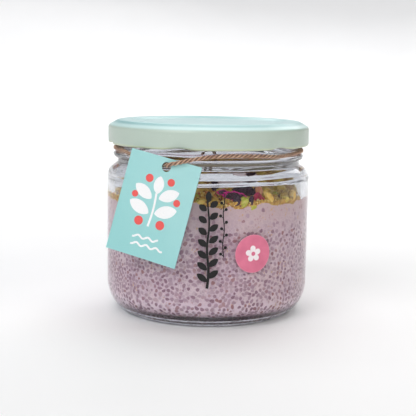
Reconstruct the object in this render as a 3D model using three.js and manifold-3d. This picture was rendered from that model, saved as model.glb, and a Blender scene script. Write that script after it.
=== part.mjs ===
// Chia pudding in a shut glass jar, with a pressed metal lid, a twine and a hang tag.
// Millimetres, +Z up, the front of the jar faces -Y. An azimuth is counted in degrees
// from the front, towards +X. The model stands on Z = 0, centred on its own box.

import * as THREE from 'three';
import { mergeVertices } from 'three/addons/utils/BufferGeometryUtils.js';
import Module from 'manifold-3d';

const wasm = await Module();
wasm.setup();

// Gap kept between pieces that touch.
const GAP = 0.3;

// Glass jar: its foot, body, shoulder, neck, bead and mouth.
const JAR_SIDES = 56;
const BODY_RADIUS = 43.15;
const WALL = 2.95;
const BORE_RADIUS = BODY_RADIUS - WALL;
const HEEL = { width: 9.75, height: 13 };
const FOOT = { ring: 1.7, slope: 3.5, slopeTop: 1.3, pushUp: 2.4 };
const FLOOR = { height: 5.4, crown: 1.1, domeRadius: 19.5, domeRise: 0.7 };
const INNER_HEEL = { width: 4.4, height: 4.6 };
const SHOULDER = { start: 57, width: 5.5, height: 6, endAngle: 75 };
const INNER_SHOULDER = { start: 56.4, width: 4.8, height: 5.4, endAngle: 68 };
const NECK = { radius: 38.95, bottom: 63.1, top: 65, innerBottom: 64.6 };
const BEAD = { radius: 40.55, bottom: 65.4, top: 67.7, corner: 1.1, cornerAngle: 80 };
const FINISH = { radius: 38.6, bottom: 68 };
const MOUTH_RADIUS = 35.9;
const JAR_HEIGHT = 80.2;
const LIP_HEIGHT = 1.2;

// Pressed metal lid: a sunk panel in a raised rim, a sloping corner, a skirt and a curled edge.
const LID_SIDES = 66;
const LID_RADIUS = 42.75;
const LID_BOTTOM = 71.1;
const LID_TOP = 81.2;
const SHEET = 0.45;
const PANEL = { radius: 31, drop: 0.85 };
const RIM = { inner: 33, outer: 37.2, shoulder: 38.8, shoulderDrop: 0.25 };
const CORNER = { radius: 42.2, top: 79.1, bottom: 78.1, innerBottom: 77.9 };
const CURL = { radius: 0.9, inside: 2.2 };
const LUG = { count: 6, first: -16, halfWidth: 10.5, inward: 1.6, lift: 0.6, reach: 3.4 };

// Pudding, and the layer of ground nuts on it, which ends a little behind the jar's middle.
const FOOD_SIDES = 60;
const PUDDING_LEVEL = 48.4;
const PUDDING_RINGS = [0, 24, 38.4];
const SWIRL_START = 6;
const PUDDING_WAVES = [
  { height: 0.6, count: 1, shift: 80 },
  { height: 0.4, count: 5, shift: 60 },
  { height: 0.75, count: 15, shift: -165 },
];
const HEAP_SIDES = 32;
const HEAP_RADIUS = 38;
const HEAP_RINGS = [0, 10, 18, 25, 31.5];
const HEAP = { front: 2.7, back: 1.8, from: -30, to: 14, end: 13 };
const BUMPS = { height: 0.4, across: 1.9, along: 2.3 };
const MOUND = { rise: 0.8, spread: 4.5, inward: 1.0 };
const HEAP_WAVES = [
  { height: 0.4, count: 4, shift: 20 },
  { height: 0.3, count: 7, shift: 0 },
];
const END_WAVES = [
  { height: 3.5, count: 3, shift: 130 },
  { height: 2, count: 8, shift: 0 },
];
const TOPPING_RADIUS = 39.85;
const SEED = 7;
const ROUGHNESS = 0.16;
const KERNEL_DEPTH = 0.42;
const CRUMBS = { count: 20, small: 1.0, large: 1.7, long: 1.25, flat: 0.9 };
const CRUMB_WALL = { inner: 36.2, band: 1.4, rise: 0.5, furthest: 105 };
const GOLDEN_ANGLE = 137.508;

// Nut kernels that show at the glass: azimuth, height, length, width and tilt.
const KERNELS = [
  { azimuth: 21, height: 50.6, long: 4.6, wide: 3.9, tilt: 50 },
  { azimuth: 28, height: 49.1, long: 3.6, wide: 2.4, tilt: -10 },
  { azimuth: 37.5, height: 51.6, long: 6.2, wide: 3.0, tilt: -52 },
  { azimuth: 56, height: 52.0, long: 4.8, wide: 2.8, tilt: 78 },
  { azimuth: -3, height: 50.9, long: 4.6, wide: 3.2, tilt: 20 },
  { azimuth: 92, height: 50.5, long: 5.0, wide: 3.2, tilt: 15 },
  { azimuth: -94, height: 50.7, long: 5.4, wide: 3.2, tilt: 25 },
  { azimuth: -52, height: 50.9, long: 5.2, wide: 3.4, tilt: -20 },
];

// Nut kernels that lie on the layer: place, length, width and turn.
const TOP_KERNELS = [
  { x: -3, y: -14, long: 6.0, wide: 4.2, turn: 20 },
  { x: 31, y: -5, long: 6.2, wide: 4.4, turn: -15 },
  { x: 25, y: -13, long: 5.5, wide: 3.6, turn: 35 },
  { x: 24, y: 2, long: 5.2, wide: 3.6, turn: -40 },
  { x: -14, y: -10, long: 5.6, wide: 3.8, turn: 10 },
];

// Dried petals: where each stands, its size, its lean back, the way it faces, its turn, and how
// much it narrows upwards.
const PETAL_THICKNESS = 0.45;
const PETAL_CUP = 0.6;
const PETAL_WAVE = { along: 2.6, across: 1.3, root: 0.4 };
const PETAL_ROUND = { sides: 0.38, tips: 0.45 };
const PETALS = [
  { x: 15.2, y: -19.5, height: 52.0, wide: 10.5, high: 6.0, lean: 42, face: 6, turn: -6, ruffle: 0.6, taper: 0 },
  { x: 11.6, y: -30.8, height: 51.9, wide: 12, high: 4.2, lean: 30, face: 12, turn: -16, ruffle: 0.3, taper: 0 },
  { x: 19.6, y: -34, height: 52.2, wide: 5.4, high: 5.0, lean: 8, face: 29, turn: 6, ruffle: 0.3, taper: 0.4 },
  { x: 28.3, y: 6.5, height: 51.1, wide: 8.5, high: 6.0, lean: 76, face: 0, turn: 3, ruffle: 0.4, taper: 0 },
  { x: 18.8, y: 2, height: 51.3, wide: 8.0, high: 6.0, lean: 60, face: 10, turn: -10, ruffle: 0.4, taper: 0 },
  { x: 3, y: 4.5, height: 50.8, wide: 4.6, high: 3.8, lean: 50, face: 0, turn: 12, ruffle: 0.3, taper: 0 },
  { x: -25, y: 4, height: 51.2, wide: 9.5, high: 6.0, lean: 68, face: -40, turn: -6, ruffle: 0.4, taper: 0 },
  { x: -17, y: -25, height: 52.2, wide: 9.5, high: 5.6, lean: 45, face: -25, turn: 8, ruffle: 0.5, taper: 0 },
];

// Twine in the groove above the bead: azimuth, distance from the axis and height of its points.
const TWINE = { radius: 0.83, steps: 66, tailRadius: 0.75, tailSteps: 5 };
const TWINE_RIGHT = [
  [-9.5, 43.9, 67.6], [-2, 42.5, 68.55], [6, 41.2, 69.05], [14, 40.1, 69.1], [24, 39.8, 68.95],
  [33, 40.1, 68.75], [43, 40.6, 68.45], [52, 40.3, 68.6], [64, 39.85, 68.9], [79, 39.85, 69],
  [100, 39.85, 69], [120, 39.85, 69], [140, 39.85, 68.95], [160, 40.1, 68.95], [177, 41.9, 68.85],
];
const TWINE_LEFT = [
  [-177, 41.9, 68.7], [-160, 40.1, 68.9], [-140, 39.85, 69], [-120, 39.85, 69.05], [-100, 39.85, 69.1],
  [-80, 39.85, 69.2], [-64, 39.95, 69], [-56, 40.6, 68.85], [-49, 41.3, 68.15], [-36, 42, 66.95],
];

// Twine through the tag: points from the middle of its hole, in the card's own frame.
const TWINE_HOLE = [
  [-2.1, 0.8, -2.05], [-0.1, 0.4, -0.75], [0.1, 0.6, 0.6], [1.7, 1.5, 1.5], [4.6, 2.8, 1.6],
];
const KNOT = { azimuth: 180, radius: 42.5, height: 68.7, wide: 2.5, deep: 1.24, high: 1.9 };
const TAIL_BEND = 43.6;
const TAIL_ENDS = [[173, 44.4, 60.5], [-174, 44.5, 62]];

// Card tag, its hole and its seat against the shoulder.
const TAG = { width: 29.5, height: 40.5, thickness: 0.5, hole: 1.9 };
const TAG_HOLE = { x: 0.84, y: 16.76 };
const TAG_SEAT = { azimuth: -16, distance: 43.8, height: 57, lean: 7, turn: -12.8 };
const TAG_OFFSET = { x: -8.98, y: -8.53 };

// Round label on the glass.
const LABEL = { radius: 7.6, thickness: 0.3, azimuth: 25, height: 30.8, sides: 24 };

const rad = THREE.MathUtils.degToRad;

// A point from its azimuth, its distance from the axis and its height.
function onJar(azimuth, radius, height) {
  return new THREE.Vector3(radius * Math.sin(rad(azimuth)), -radius * Math.cos(rad(azimuth)), height);
}

// The azimuth of a point, in degrees.
function azimuthOf(x, y) {
  return THREE.MathUtils.radToDeg(Math.atan2(x, -y));
}

// The sum of waves that run round the jar, at an azimuth.
function waves(list, azimuth) {
  return list.reduce((sum, wave) => sum + wave.height * Math.sin(rad(wave.count * azimuth + wave.shift)), 0);
}

// Points of an elliptical arc, its angles counted from outwards to upwards.
function arc(centre, radii, from, to, steps) {
  const points = [];
  for (let i = 0; i <= steps; i += 1) {
    const angle = rad(from + (to - from) * i / steps);
    points.push([centre[0] + radii[0] * Math.cos(angle), centre[1] + radii[1] * Math.sin(angle)]);
  }
  return points;
}

// A turned body about +Z from a profile of [radius, height] pairs.
function turned(profile, sides) {
  const points = profile.map(([radius, height]) => new THREE.Vector2(radius, height));
  const geometry = new THREE.LatheGeometry(points, sides);
  geometry.rotateX(Math.PI / 2);
  return geometry;
}

// Moves every vertex of a geometry by a rule that changes the given vector.
function reshape(geometry, rule) {
  const positions = geometry.getAttribute('position');
  const point = new THREE.Vector3();
  for (let i = 0; i < positions.count; i += 1) {
    point.fromBufferAttribute(positions, i);
    rule(point);
    positions.setXYZ(i, point.x, point.y, point.z);
  }
  geometry.computeVertexNormals();
  return geometry;
}

// The closed solid of a geometry, for joining and cutting.
function toSolid(geometry) {
  const bare = geometry.clone();
  bare.deleteAttribute('normal');
  bare.deleteAttribute('uv');
  const merged = mergeVertices(bare, 1e-4);
  const index = Array.from(merged.index.array);
  const triangles = [];
  for (let i = 0; i < index.length; i += 3) {
    const [a, b, c] = index.slice(i, i + 3);
    if (a !== b && b !== c && c !== a) {
      triangles.push(a, b, c);
    }
  }
  const mesh = new wasm.Mesh({
    numProp: 3,
    vertProperties: new Float32Array(merged.getAttribute('position').array),
    triVerts: new Uint32Array(triangles),
  });
  return new wasm.Manifold(mesh);
}

// The geometry of a solid.
function toGeometry(solid) {
  const mesh = solid.getMesh();
  const geometry = new THREE.BufferGeometry();
  geometry.setAttribute('position', new THREE.BufferAttribute(new Float32Array(mesh.vertProperties), 3));
  geometry.setIndex(new THREE.BufferAttribute(new Uint32Array(mesh.triVerts), 1));
  geometry.computeVertexNormals();
  return geometry;
}

// The largest separate body of a solid, without the scraps that a cut leaves.
function largestBody(solid) {
  return solid.decompose().sort((a, b) => b.volume() - a.volume())[0];
}

// Repeatable random numbers between 0 and 1.
function randomSource(seed) {
  let state = seed;
  return () => {
    state = (state * 1664525 + 1013904223) % 4294967296;
    return state / 4294967296;
  };
}

// A named mesh with its material.
function piece(name, geometry, color, roughness, metalness = 0, extra = {}) {
  const material = new THREE.MeshStandardMaterial({ color, roughness, metalness, ...extra });
  const mesh = new THREE.Mesh(geometry, material);
  mesh.name = name;
  return mesh;
}

// The jar's outside from the middle of its base up to the lip.
function jarOutside() {
  const footOuter = BODY_RADIUS - HEEL.width;
  const footInner = footOuter - FOOT.ring;
  const cornerCentre = BEAD.radius - BEAD.corner;
  const corner = [BEAD.corner, BEAD.corner];
  const shoulderCentre = [BODY_RADIUS - SHOULDER.width, SHOULDER.start];
  return [
    [0, FOOT.pushUp],
    [footInner - FOOT.slope, FOOT.slopeTop],
    [footInner, 0],
    ...arc([footOuter, HEEL.height], [HEEL.width, HEEL.height], -90, 0, 4),
    ...arc(shoulderCentre, [SHOULDER.width, SHOULDER.height], 0, SHOULDER.endAngle, 4),
    [NECK.radius, NECK.bottom],
    [NECK.radius, NECK.top],
    ...arc([cornerCentre, BEAD.bottom + BEAD.corner], corner, -BEAD.cornerAngle, 0, 2),
    ...arc([cornerCentre, BEAD.top - BEAD.corner], corner, 0, BEAD.cornerAngle, 2),
    [FINISH.radius, FINISH.bottom],
  ];
}

// The jar's inside from the lip down to the middle of its floor.
function jarInside() {
  const shoulderCentre = [BORE_RADIUS - INNER_SHOULDER.width, INNER_SHOULDER.start];
  const heelCentre = [BORE_RADIUS - INNER_HEEL.width, FLOOR.height + INNER_HEEL.height];
  return [
    [MOUTH_RADIUS, NECK.innerBottom],
    ...arc(shoulderCentre, [INNER_SHOULDER.width, INNER_SHOULDER.height], INNER_SHOULDER.endAngle, 0, 3),
    ...arc(heelCentre, [INNER_HEEL.width, INNER_HEEL.height], 0, -90, 3),
    [FLOOR.domeRadius, FLOOR.height + FLOOR.domeRise],
    [0, FLOOR.height + FLOOR.crown],
  ];
}

function makeJar() {
  const lipWidth = (FINISH.radius - MOUTH_RADIUS) / 2;
  const lip = arc([MOUTH_RADIUS + lipWidth, JAR_HEIGHT - LIP_HEIGHT], [lipWidth, LIP_HEIGHT], 0, 180, 4);
  const geometry = turned([...jarOutside(), ...lip, ...jarInside()], JAR_SIDES);
  return piece('jar_glass', geometry, 0xdfe6ea, 0.03, 0, { transparent: true, opacity: 0.35 });
}

// How far into a lug an azimuth lies: 1 at its middle, 0 outside it.
function lugShare(azimuth) {
  const pitch = 360 / LUG.count;
  const offset = THREE.MathUtils.euclideanModulo(azimuth - LUG.first + pitch / 2, pitch) - pitch / 2;
  return Math.abs(offset) < LUG.halfWidth ? Math.cos(offset / LUG.halfWidth * Math.PI / 2) ** 2 : 0;
}

// The lid's closed section: down its outside, round the curled edge and back along its inside.
function lidProfile() {
  const panel = LID_TOP - PANEL.drop;
  const shoulder = LID_TOP - RIM.shoulderDrop;
  return [
    [0, panel],
    [PANEL.radius, panel],
    [RIM.inner, LID_TOP],
    [RIM.outer, LID_TOP],
    [RIM.shoulder, shoulder],
    [CORNER.radius, CORNER.top],
    [LID_RADIUS, CORNER.bottom],
    [LID_RADIUS, LID_BOTTOM + LUG.reach],
    ...arc([LID_RADIUS - CURL.radius, LID_BOTTOM + CURL.radius], [CURL.radius, CURL.radius], 0, -180, 4),
    [LID_RADIUS - SHEET, LID_BOTTOM + CURL.inside],
    [LID_RADIUS - SHEET, CORNER.innerBottom],
    [RIM.shoulder - GAP, shoulder - SHEET],
    [RIM.inner + GAP, LID_TOP - SHEET],
    [PANEL.radius + GAP, panel - SHEET],
    [0, panel - SHEET],
  ].reverse();
}

// The lid, its curled edge pressed inwards and up at each lug.
function makeLid() {
  const geometry = reshape(turned(lidProfile(), LID_SIDES), (point) => {
    const radius = Math.hypot(point.x, point.y);
    const depth = THREE.MathUtils.clamp((LID_BOTTOM + LUG.reach - point.z) / LUG.reach, 0, 1);
    if (radius < LID_RADIUS - 3 * CURL.radius || depth === 0) {
      return;
    }
    const share = lugShare(azimuthOf(point.x, point.y)) * depth;
    const scale = (radius - LUG.inward * share) / radius;
    point.set(point.x * scale, point.y * scale, point.z + LUG.lift * share);
  });
  return piece('lid', geometry, 0xbcd0c4, 0.32, 0.1);
}

// Height of the pudding's uneven top.
function puddingTop(x, y) {
  const share = THREE.MathUtils.smoothstep(Math.hypot(x, y), SWIRL_START, BORE_RADIUS);
  return PUDDING_LEVEL + share * waves(PUDDING_WAVES, azimuthOf(x, y));
}

// How much the heap is mounded at a place to carry the petal that stands nearest.
function mound(x, y) {
  const distances = PETALS.map((petal) => {
    const foot = onJar(petal.face, MOUND.inward, 0);
    return Math.hypot(x - petal.x - foot.x, y - petal.y - foot.y);
  });
  return MOUND.rise * Math.exp(-((Math.min(...distances) / MOUND.spread) ** 2));
}

// Height of the bare heap that carries the crumbs: uneven, and lower towards the back.
function heapTop(x, y) {
  const outwards = (Math.hypot(x, y) / BORE_RADIUS) ** 2;
  const backwards = THREE.MathUtils.smoothstep(y, HEAP.from, HEAP.to);
  const level = PUDDING_LEVEL + THREE.MathUtils.lerp(HEAP.front, HEAP.back, backwards);
  const swell = outwards * waves(HEAP_WAVES, azimuthOf(x, y));
  const bump = BUMPS.height * Math.sin(BUMPS.across * x) * Math.cos(BUMPS.along * y);
  return Math.max(level + swell + bump + mound(x, y), puddingTop(x, y) + 4 * GAP);
}

// How far the heap reaches from the axis at an azimuth: to the glass in front and at the sides,
// and at the back up to an uneven line that runs across the jar.
function heapReach(azimuth) {
  const end = HEAP.end + waves(END_WAVES, azimuth);
  const backwards = -Math.cos(rad(azimuth));
  return backwards > 0 ? Math.min(HEAP_RADIUS, end / backwards) : HEAP_RADIUS;
}

function puddingGeometry() {
  const heelCentre = [BORE_RADIUS - INNER_HEEL.width, FLOOR.height + INNER_HEEL.height];
  const corner = [INNER_HEEL.width - GAP, INNER_HEEL.height - GAP];
  const profile = [
    [0, FLOOR.height + FLOOR.crown + GAP],
    [FLOOR.domeRadius, FLOOR.height + FLOOR.domeRise + GAP],
    ...arc(heelCentre, corner, -90, 0, 3),
    [BORE_RADIUS - GAP, PUDDING_LEVEL],
    ...PUDDING_RINGS.slice().reverse().map((ring) => [ring, PUDDING_LEVEL]),
  ];
  return reshape(turned(profile, FOOD_SIDES), (point) => {
    if (point.z > PUDDING_LEVEL - 1) {
      point.z = puddingTop(point.x, point.y);
    }
  });
}

function makePudding() {
  return piece('pudding', puddingGeometry(), 0xb49aa8, 0.45);
}

// The bare heap between the pudding's top and the crumbs.
function heapGeometry() {
  const low = [[0, 0], [HEAP_RINGS[2], 0], [HEAP_RADIUS, 0]];
  const high = [...HEAP_RINGS, HEAP_RADIUS].reverse().map((ring) => [ring, 1]);
  return reshape(turned([...low, ...high], HEAP_SIDES), (point) => {
    const share = heapReach(azimuthOf(point.x, point.y)) / HEAP_RADIUS;
    const [x, y] = [point.x * share, point.y * share];
    point.set(x, y, point.z > 0.5 ? heapTop(x, y) : puddingTop(x, y) + 2 * GAP);
  });
}

// A rough lump: a ball of few faces, uneven and stretched.
function lump(detail, size, random) {
  const ball = new THREE.IcosahedronGeometry(1, detail);
  ball.deleteAttribute('normal');
  ball.deleteAttribute('uv');
  return reshape(mergeVertices(ball, 1e-4), (point) => {
    point.multiplyScalar(1 + ROUGHNESS * (2 * random() - 1));
    point.multiply(size);
  });
}

// A nut kernel, lying against the wall.
function kernelGeometry(kernel, random) {
  const depth = kernel.wide * KERNEL_DEPTH;
  const geometry = lump(1, new THREE.Vector3(kernel.long / 2, kernel.wide / 2, depth), random);
  geometry.rotateZ(rad(kernel.tilt));
  geometry.rotateX(Math.PI / 2);
  geometry.rotateZ(rad(kernel.azimuth));
  return geometry.translate(...onJar(kernel.azimuth, TOPPING_RADIUS - depth, kernel.height));
}

// A nut kernel, lying on the heap.
function topKernelGeometry(kernel, random) {
  const depth = kernel.wide * KERNEL_DEPTH;
  const geometry = lump(1, new THREE.Vector3(kernel.long / 2, kernel.wide / 2, depth), random);
  geometry.rotateZ(rad(kernel.turn));
  return geometry.translate(kernel.x, kernel.y, heapTop(kernel.x, kernel.y) + depth / 2);
}

// A crumb: every second one stands at the wall, the others lie on the heap.
function crumbGeometry(index, random) {
  const atWall = index % 2 === 0;
  const share = random();
  const turn = THREE.MathUtils.euclideanModulo(index * GOLDEN_ANGLE + 180, 360) / 180 - 1;
  const azimuth = atWall ? CRUMB_WALL.furthest * turn : 180 * turn;
  const radius = atWall ? CRUMB_WALL.inner + CRUMB_WALL.band * share : heapReach(azimuth) * Math.sqrt(share);
  const size = THREE.MathUtils.lerp(CRUMBS.small, CRUMBS.large, random());
  const geometry = lump(0, new THREE.Vector3(size * CRUMBS.long, size, size * CRUMBS.flat), random);
  geometry.rotateZ(2 * Math.PI * random());
  geometry.rotateX(Math.PI * random());
  const place = onJar(azimuth, radius, 0);
  const low = puddingTop(place.x, place.y) + size;
  const high = heapTop(place.x, place.y);
  place.z = atWall ? THREE.MathUtils.lerp(low, high + CRUMB_WALL.rise, random()) : high;
  return geometry.translate(...place);
}

// The topping: heap, nut kernels and crumbs in one body, clear of wall, pudding and petals.
function makeTopping(petals) {
  const random = randomSource(SEED);
  const solids = [toSolid(heapGeometry())];
  for (const kernel of KERNELS) {
    solids.push(toSolid(kernelGeometry(kernel, random)));
  }
  for (const kernel of TOP_KERNELS) {
    solids.push(toSolid(topKernelGeometry(kernel, random)));
  }
  for (let i = 0; i < CRUMBS.count; i += 1) {
    solids.push(toSolid(crumbGeometry(i, random)));
  }
  const cylinder = [[0, 0], [TOPPING_RADIUS, 0], [TOPPING_RADIUS, JAR_HEIGHT], [0, JAR_HEIGHT]];
  const below = toSolid(puddingGeometry().translate(0, 0, GAP));
  let body = wasm.Manifold.union(solids).intersect(toSolid(turned(cylinder, FOOD_SIDES))).subtract(below);
  for (const petal of petals) {
    petal.updateMatrixWorld(true);
    const room = petalGeometry(petal.userData.shape, PETAL_THICKNESS + 2 * GAP, GAP);
    body = body.subtract(toSolid(room.applyMatrix4(petal.matrixWorld)));
  }
  return piece('topping', toGeometry(largestBody(body)), 0xa88f4a, 0.75);
}

// A petal: a thin plate drawn out to a rounded outline, tapered, cupped and ruffled.
function petalGeometry(shape, thickness, margin) {
  const plate = new THREE.BoxGeometry(2, 2, 1, 6, 3, 1);
  return reshape(plate, (point) => {
    const u = point.x;
    const v = point.y;
    const taper = 1 - shape.taper * v;
    const x = u * Math.sqrt(1 - v * v * PETAL_ROUND.sides) * taper * (shape.wide / 2 + margin);
    const y = v * Math.sqrt(1 - u * u * PETAL_ROUND.tips) * (shape.high / 2 + margin);
    const growth = PETAL_WAVE.root + (1 - PETAL_WAVE.root) * v;
    const ruffle = shape.ruffle * growth * Math.sin(PETAL_WAVE.along * u + PETAL_WAVE.across * v);
    point.set(x, y, point.z * thickness - PETAL_CUP * u * u + ruffle);
  });
}

function makePetals() {
  return PETALS.map((shape, i) => {
    const mesh = piece(`petal_${i + 1}`, petalGeometry(shape, PETAL_THICKNESS, 0), 0x40202f, 0.6);
    mesh.userData.shape = shape;
    mesh.rotation.order = 'ZXY';
    mesh.rotation.set(Math.PI / 2 - rad(shape.lean), 0, rad(shape.face));
    mesh.rotateZ(rad(shape.turn));
    mesh.position.set(shape.x, shape.y, shape.height);
    return mesh;
  });
}

// The tag hangs in a group that stands at its seat on the shoulder.
function makeTag() {
  const outline = new THREE.Shape();
  outline.moveTo(-TAG.width / 2, -TAG.height / 2);
  outline.lineTo(TAG.width / 2, -TAG.height / 2);
  outline.lineTo(TAG.width / 2, TAG.height / 2);
  outline.lineTo(-TAG.width / 2, TAG.height / 2);
  outline.closePath();
  const hole = new THREE.Path();
  hole.absarc(TAG_HOLE.x, TAG_HOLE.y, TAG.hole, 0, 2 * Math.PI, true);
  outline.holes.push(hole);
  const card = new THREE.ExtrudeGeometry(outline, {
    depth: TAG.thickness,
    bevelEnabled: false,
    curveSegments: 10,
  });
  card.translate(0, 0, -TAG.thickness / 2);
  const tag = piece('hang_tag', card, 0x9ccfcf, 0.7);
  tag.position.set(TAG_OFFSET.x, TAG_OFFSET.y, 0);
  tag.rotation.z = rad(TAG_SEAT.turn);
  const seat = new THREE.Group();
  seat.position.set(0, -TAG_SEAT.distance, TAG_SEAT.height);
  seat.rotation.x = Math.PI / 2 - rad(TAG_SEAT.lean);
  seat.add(tag);
  const turn = new THREE.Group();
  turn.rotation.z = rad(TAG_SEAT.azimuth);
  turn.add(seat);
  turn.updateMatrixWorld(true);
  return { group: turn, tag };
}

// A round cord along a smooth line of points.
function cord(points, radius, steps) {
  const section = new THREE.Shape();
  section.absarc(0, 0, radius, 0, 2 * Math.PI, false);
  return new THREE.ExtrudeGeometry(section, {
    steps,
    curveSegments: 4,
    bevelEnabled: false,
    extrudePath: new THREE.CatmullRomCurve3(points, false, 'centripetal'),
  });
}

// The twine: from the knot at the back round the left, through the tag's hole from behind,
// over the card and round the right, back to the knot, with its two tails.
function makeTwine(tag) {
  const throughHole = TWINE_HOLE.map(([x, y, z]) => (
    tag.localToWorld(new THREE.Vector3(TAG_HOLE.x + x, TAG_HOLE.y + y, z))
  ));
  const route = [
    ...TWINE_LEFT.map((place) => onJar(...place)),
    ...throughHole,
    ...TWINE_RIGHT.map((place) => onJar(...place)),
  ];
  const knot = onJar(KNOT.azimuth, KNOT.radius, KNOT.height);
  const ball = new THREE.SphereGeometry(1, 10, 7);
  ball.scale(KNOT.wide, KNOT.deep, KNOT.high);
  ball.translate(...knot);
  const solids = [toSolid(cord(route, TWINE.radius, TWINE.steps)), toSolid(ball)];
  for (const end of TAIL_ENDS) {
    const halfWay = (end[0] + Math.sign(end[0]) * KNOT.azimuth) / 2;
    const bend = onJar(halfWay, TAIL_BEND, (end[2] + knot.z) / 2);
    solids.push(toSolid(cord([knot, bend, onJar(...end)], TWINE.tailRadius, TWINE.tailSteps)));
  }
  const body = wasm.Manifold.union(solids);
  return piece('twine', toGeometry(largestBody(body)), 0x9c7b5c, 0.9);
}

// The round label: a thin disc bent round the glass.
function makeLabel() {
  const half = LABEL.radius / 2;
  const disc = turned([
    [0, 0], [half, 0], [LABEL.radius, 0],
    [LABEL.radius, LABEL.thickness], [half, LABEL.thickness], [0, LABEL.thickness],
  ], LABEL.sides);
  const geometry = reshape(disc, (point) => {
    const radius = BODY_RADIUS + GAP + point.z;
    const azimuth = LABEL.azimuth + THREE.MathUtils.radToDeg(point.x / BODY_RADIUS);
    point.copy(onJar(azimuth, radius, LABEL.height + point.y));
  });
  return piece('round_label', geometry, 0xd87391, 0.5);
}

const jar = new THREE.Group();
const petals = makePetals();
const { group: hangingTag, tag } = makeTag();
jar.add(makeJar(), makeLid(), makePudding(), makeTopping(petals), ...petals);
jar.add(hangingTag, makeTwine(tag), makeLabel());

// The whole stands with the middle of its box over the origin.
const box = new THREE.Box3().setFromObject(jar, true);
const middle = box.getCenter(new THREE.Vector3());
jar.position.set(-middle.x, -middle.y, -box.min.z);

const object = new THREE.Group();
object.add(jar);
export default object;
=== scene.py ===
"""Looks of a chia pudding in its shut glass jar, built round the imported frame.

Sizes are millimetres about the jar's axis and become metres where a mesh is made. An azimuth is
counted in degrees from the front, towards +X. The shape values repeat those of the CAD source.
"""

import logging
import math
from collections.abc import Callable
from dataclasses import dataclass, field
from enum import Enum

import bpy
import numpy as np
from mathutils import Matrix, Vector


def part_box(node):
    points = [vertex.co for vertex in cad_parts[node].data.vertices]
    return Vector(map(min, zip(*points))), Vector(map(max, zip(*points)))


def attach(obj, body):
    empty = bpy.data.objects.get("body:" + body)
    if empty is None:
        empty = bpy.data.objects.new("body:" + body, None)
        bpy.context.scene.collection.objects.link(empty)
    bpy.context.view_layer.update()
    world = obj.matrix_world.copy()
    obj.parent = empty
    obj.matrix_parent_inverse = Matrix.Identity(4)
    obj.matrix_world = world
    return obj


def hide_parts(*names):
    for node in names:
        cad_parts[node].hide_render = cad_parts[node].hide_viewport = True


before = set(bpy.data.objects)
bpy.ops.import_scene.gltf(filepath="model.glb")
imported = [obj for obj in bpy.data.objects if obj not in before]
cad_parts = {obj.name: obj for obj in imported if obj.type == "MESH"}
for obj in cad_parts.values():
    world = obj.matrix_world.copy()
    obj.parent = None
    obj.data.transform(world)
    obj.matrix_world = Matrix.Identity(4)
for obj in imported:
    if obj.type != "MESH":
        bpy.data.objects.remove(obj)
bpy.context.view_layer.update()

Array = np.ndarray
Pair = tuple[float, float]
Point = tuple[float, float, float]
Four = tuple[float, float, float, float]
Six = tuple[float, float, float, float, float, float]
Colour = Four
Socket = bpy.types.NodeSocket
Value = Socket | float | Colour
Material = bpy.types.Material

MM = 0.001
SEED = 11
# Outer and inner radius of the glass wall, and the mean height of the pudding's top.
WALL = 43.15
BORE = 40.2
LEVEL = 48.4
log = logging.getLogger("jar")


def paint(red: int, green: int, blue: int) -> Colour:
    """Linear colour of a display colour given from 0 to 255, by the sRGB curve."""
    shares = np.array([red, green, blue]) / 255
    return (*np.where(shares <= 0.04045, shares / 12.92, ((shares + 0.055) / 1.055) ** 2.4).tolist(), 1.0)


def smoothstep(value: Array, low: float, high: float) -> Array:
    """3t^2 - 2t^3 of the value's share t between low and high."""
    share = np.clip((value - low) / (high - low), 0, 1)
    return share * share * (3 - 2 * share)


def on_jar(azimuth: Array, radius: Array, height: Array) -> Array:
    """Points at radius * (sin, -cos) of the azimuth in degrees, and at the height."""
    turn = np.radians(azimuth)
    return np.stack(np.broadcast_arrays(radius * np.sin(turn), -radius * np.cos(turn), height), axis=-1)


def round_axis(radius: Array, height: Array, angle: Array) -> Array:
    """Points (radius * cos t, radius * sin t, height) for angles t in radians."""
    return np.stack(np.broadcast_arrays(radius * np.cos(angle), radius * np.sin(angle), height), axis=-1)


def azimuth_of(points: Array) -> Array:
    """Azimuth of each point, in degrees."""
    return np.degrees(np.arctan2(points[..., 0], -points[..., 1]))


def radius_of(points: Array) -> Array:
    """Distance of each point from the axis."""
    return np.hypot(points[..., 0], points[..., 1])


def drawn(points: Array, scale: Array, lift: Array = 0.0) -> Array:
    """Points with their distance from the axis times a scale, and lifted."""
    return np.stack([points[..., 0] * scale, points[..., 1] * scale, points[..., 2] + lift], axis=-1)


def at_height(points: Array, height: Array) -> Array:
    """The same places in plan at another height."""
    return np.stack([points[..., 0], points[..., 1], height], axis=-1)


def turn_matrix(degrees: float, axis: str) -> Array:
    """Rotation by that angle about the X, Y or Z axis, three by three."""
    return np.array(Matrix.Rotation(math.radians(degrees), 3, axis))


def unit(vectors: Array) -> Array:
    """Vectors divided by their lengths."""
    return vectors / np.linalg.norm(vectors, axis=-1, keepdims=True)


def way_of(path: Array) -> Array:
    """Unit direction of a line at each of its points."""
    return unit(np.gradient(path, axis=0))


def lengths_along(path: Array) -> Array:
    """Distance of each point from the start, along the line."""
    return np.concatenate([[0], np.cumsum(np.linalg.norm(np.diff(path, axis=0), axis=1))])


def line_at(path: Array, lengths: Array, along: Array) -> Array:
    """Points of the line at the given distances along it."""
    return np.stack([np.interp(along, lengths, column) for column in path.T], axis=-1)


def round_angles(count: int) -> Array:
    """Equal angles once round the circle, in radians."""
    return np.linspace(0, 2 * np.pi, count, endpoint=False)


def directions(angles: Array) -> Array:
    """(cos t, sin t) of each angle t."""
    return np.stack([np.cos(angles), np.sin(angles)], axis=-1)


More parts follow.
